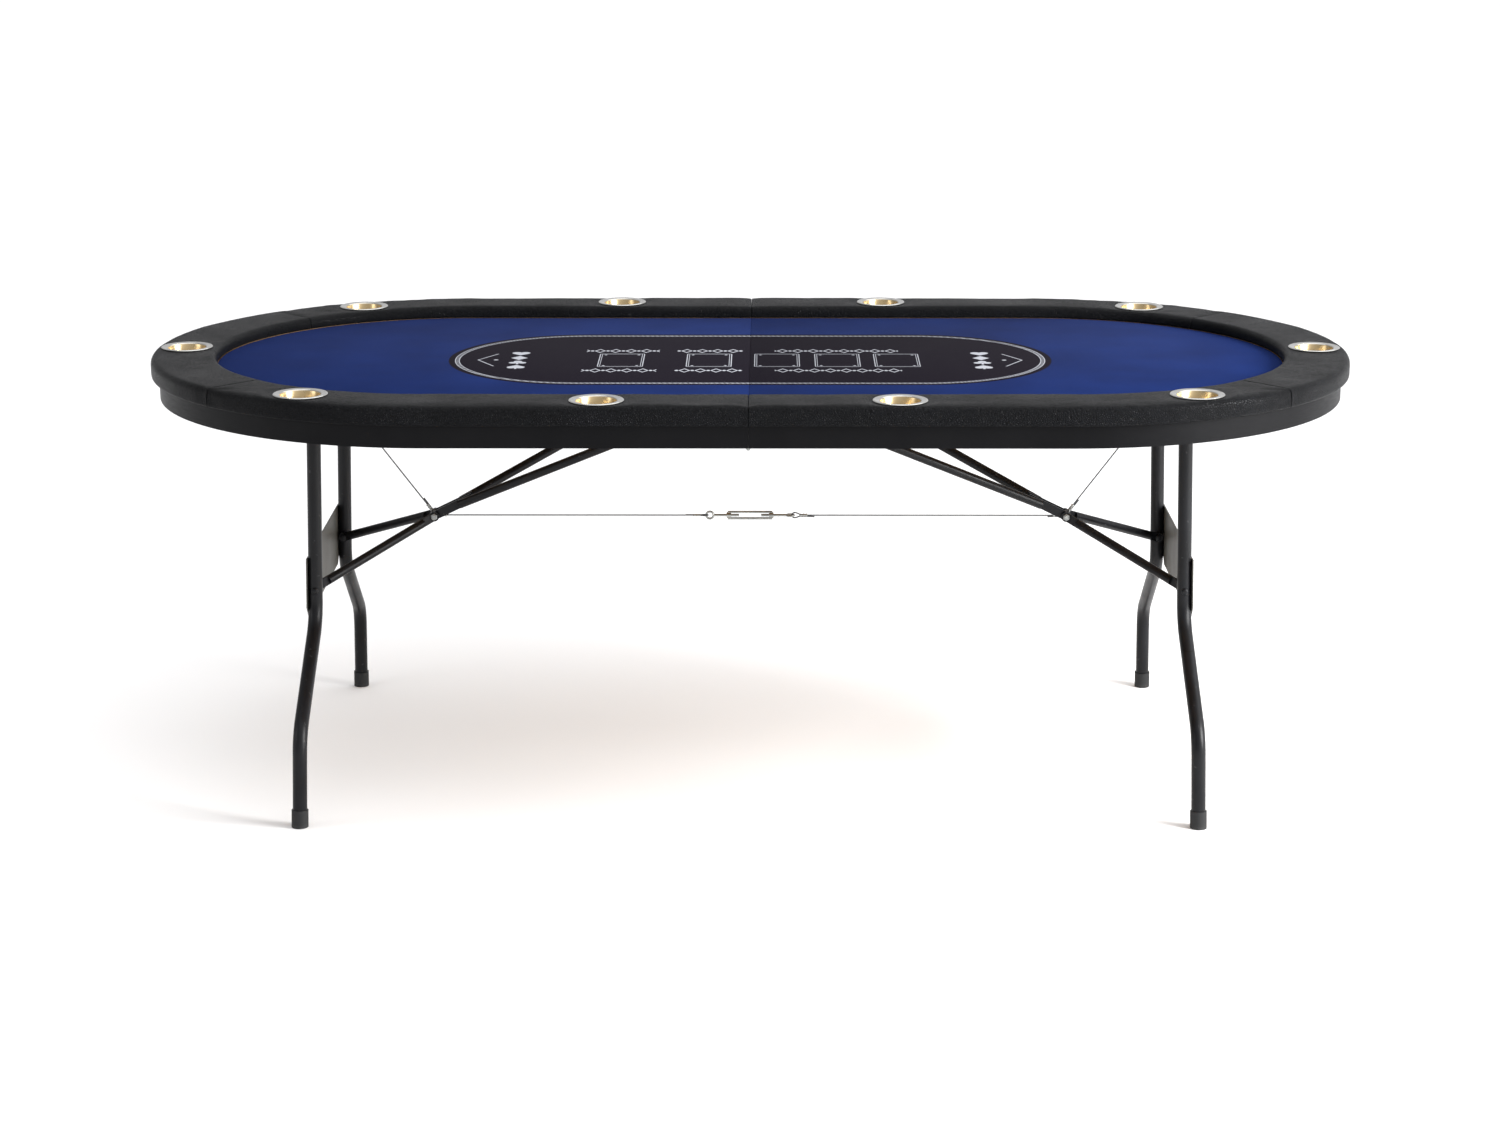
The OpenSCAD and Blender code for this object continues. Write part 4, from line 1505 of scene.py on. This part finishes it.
    def tie(self) -> None:
        """Build the tie line: two ropes and their loops, round the turnbuckle's eyes between them."""
        up, back = Vector((0, 0, 1)), Vector((0, 1, 0))
        right = Vector((1, 0, 0))
        low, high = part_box("tie_cable_right")
        y = -3 * MM
        z = (low.z + high.z) / 2
        left_low, left_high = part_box("left_knuckle_bolt")
        right_low, right_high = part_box("right_knuckle_bolt")
        left_end = Vector(((left_low.x + left_high.x) / 2, y, z))
        right_end = Vector(((right_low.x + right_high.x) / 2, y, z))
        inset = 0.5 * MM
        eye_left = Vector((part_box("tie_eye_left")[0].x + inset, y, z))
        eye_right = Vector((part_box("tie_eye_right")[1].x - inset, y, z))
        hinge_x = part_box("tie_cable_left")[0].x
        loops = [self.rope("tie_a", self.loop(left_end, right, 9 * MM, 5.8 * MM, up))]
        piece = self.joined("tie_end_loop", loops, "tie_end", "tie_loop")
        self.palette.dress(piece, Slot.ROPE)
        self.sleeves("tie_end_ferrule", "tie_end", [(left_end + right * 8 * MM, right, up)])
        parts = [
            self.rope("tie_b", [Vector((hinge_x, y, z)), eye_left - right * 9 * MM]),
            self.rope("tie_c", self.loop(eye_left, -right, 10 * MM, 4.8 * MM, back)),
            self.rope("tie_d", self.tail(eye_left, -right, back, [(9, 2.2), (26, 2.3), (36, 2.8)])),
        ]
        piece = self.joined("tie_rope_left", parts, "tie_line", "tie_cable_left")
        self.palette.dress(piece, Slot.ROPE)
        parts = [
            self.rope("tie_e", [eye_right + right * 9 * MM, right_end - right * 9 * MM]),
            self.rope("tie_f", self.loop(eye_right, right, 10 * MM, 4.8 * MM, up)),
            self.rope("tie_g", self.loop(right_end, -right, 9 * MM, 5.8 * MM, up)),
            self.rope("tie_h", self.tail(eye_right, right, -up, [(9, 2.2), (26, 2.3), (36, 2.9)])),
            self.rope("tie_i", self.tail(right_end, -right, -up, [(9, 2.2), (25, 2.3), (33, 2.9)])),
        ]
        piece = self.joined("tie_rope_right", parts, "tie_line", "tie_cable_right")
        self.palette.dress(piece, Slot.ROPE)
        self.sleeves(
            "tie_ferrules", "tie_line",
            [(eye_left - right * 9 * MM, -right, back), (eye_right + right * 9 * MM, right, up),
             (right_end - right * 9 * MM, -right, up)],
        )

    def build(self) -> None:
        """Build every rope and dress the turnbuckle."""
        for side in Side:
            self.stay(side)
        self.tie()
        for node in ("tie_eye_left", "tie_eye_right", "turnbuckle_body"):
            self.palette.dress(frame["nodes"][node], Slot.ZINC)
        log.info("rigging built")


# ---------------------------------------------------------------- studio


@dataclass
class StudioSet:
    """Pale floor, soft lights and the camera."""

    lens: float = 75.56
    at: tuple[float, float, float] = (0.0329, -5.5635, 1.7958)
    turn: tuple[float, float, float] = (75.542, 0.04, 0.331)

    def floor(self) -> None:
        """Lay the seamless floor."""
        bm = bmesh.new()
        bmesh.ops.create_grid(bm, x_segments=2, y_segments=2, size=45)
        bmesh.ops.translate(bm, verts=bm.verts, vec=(0, 0, -0.0005))
        floor = put("floor", bm)
        floor.data.materials.append(Studio("seamless paper", "#fbfbfb", "#f9f9f9", 0.9).make())

    def light(
        self, name: str, at: Sequence[float], to: Sequence[float], size: Sequence[float], power: float
    ) -> None:
        """Hang one soft box.

        Args:
            name: Name of the light.
            at: Its place.
            to: Point it faces.
            size: Width and height.
            power: Power in watts.
        """
        lamp = bpy.data.lights.new(name, "AREA")
        lamp.shape = "RECTANGLE"
        lamp.size, lamp.size_y = size
        lamp.energy = power
        holder = bpy.data.objects.new(name, lamp)
        holder.location = at
        holder.rotation_euler = (Vector(to) - Vector(at)).to_track_quat("-Z", "Y").to_euler()
        bpy.context.scene.collection.objects.link(holder)

    def camera(self) -> None:
        """Set up the camera."""
        lens = bpy.data.cameras.new("camera")
        lens.lens, lens.sensor_width, lens.clip_end = self.lens, 36.0, 60.0
        holder = bpy.data.objects.new("camera", lens)
        holder.location = self.at
        holder.rotation_euler = [math.radians(a) for a in self.turn]
        bpy.context.scene.collection.objects.link(holder)
        bpy.context.scene.camera = holder

    def build(self) -> None:
        """Set up floor, camera, sky and lights."""
        self.camera()
        self.floor()
        self.sky()
        self.sun()
        bpy.context.scene.view_settings.view_transform = "Standard"
        self.light("right_box", (3.3, -1.5, 1.7), (0.9, -0.1, 0.73), (1.6, 1.8), 240)
        self.light("left_box", (-3.4, -1.2, 1.5), (-0.9, -0.1, 0.73), (1.2, 1.4), 14)

    def sky(self) -> None:
        """Light the room softly, brighter on the right, and show an even pale wall behind."""
        world = bpy.data.worlds.new("studio")
        world.use_nodes = True
        tree = world.node_tree
        way = add(tree, "ShaderNodeTexCoord").outputs["Generated"]
        across = add(tree, "ShaderNodeSeparateXYZ", {0: way}).outputs[0]
        share = add(
            tree, "ShaderNodeMapRange",
            {"Value": across, "From Min": -0.8, "From Max": 0.8, "To Min": 0.42, "To Max": 1.0},
        )
        back = tree.nodes["Background"]
        back.inputs[0].default_value = linear("#fdfdff")
        tree.links.new(share.outputs[0], back.inputs[1])
        wall = add(tree, "ShaderNodeBackground", {"Color": linear("#fdfdff"), "Strength": 1.0})
        seen = add(tree, "ShaderNodeLightPath").outputs["Is Camera Ray"]
        both = add(
            tree, "ShaderNodeMixShader", {0: seen, 1: back.outputs[0], 2: wall.outputs[0]}
        )
        tree.links.new(both.outputs[0], tree.nodes["World Output"].inputs[0])
        bpy.context.scene.world = world

    def sun(self) -> None:
        """Hang the broad overhead light that evens out the floor."""
        lamp = bpy.data.lights.new("overhead", "SUN")
        lamp.energy, lamp.angle = 1.3, math.radians(80)
        holder = bpy.data.objects.new("overhead", lamp)
        holder.rotation_euler = (math.radians(-8), math.radians(16), 0)
        bpy.context.scene.collection.objects.link(holder)


def main() -> None:
    """Build the table piece by piece."""
    logging.basicConfig(level=logging.INFO, format="%(message)s")
    StudioSet().build()
    palette = Palette()
    palette.build()
    shape = RailShape()
    shape.read()
    Woodwork(palette).build()
    PlayingCloth(shape, palette).build()
    CupHolders(palette).build()
    PaddedRail(shape, palette).build()
    Undercarriage(palette).build()
    Rigging(palette).build()


if __name__ == "__main__":
    main()
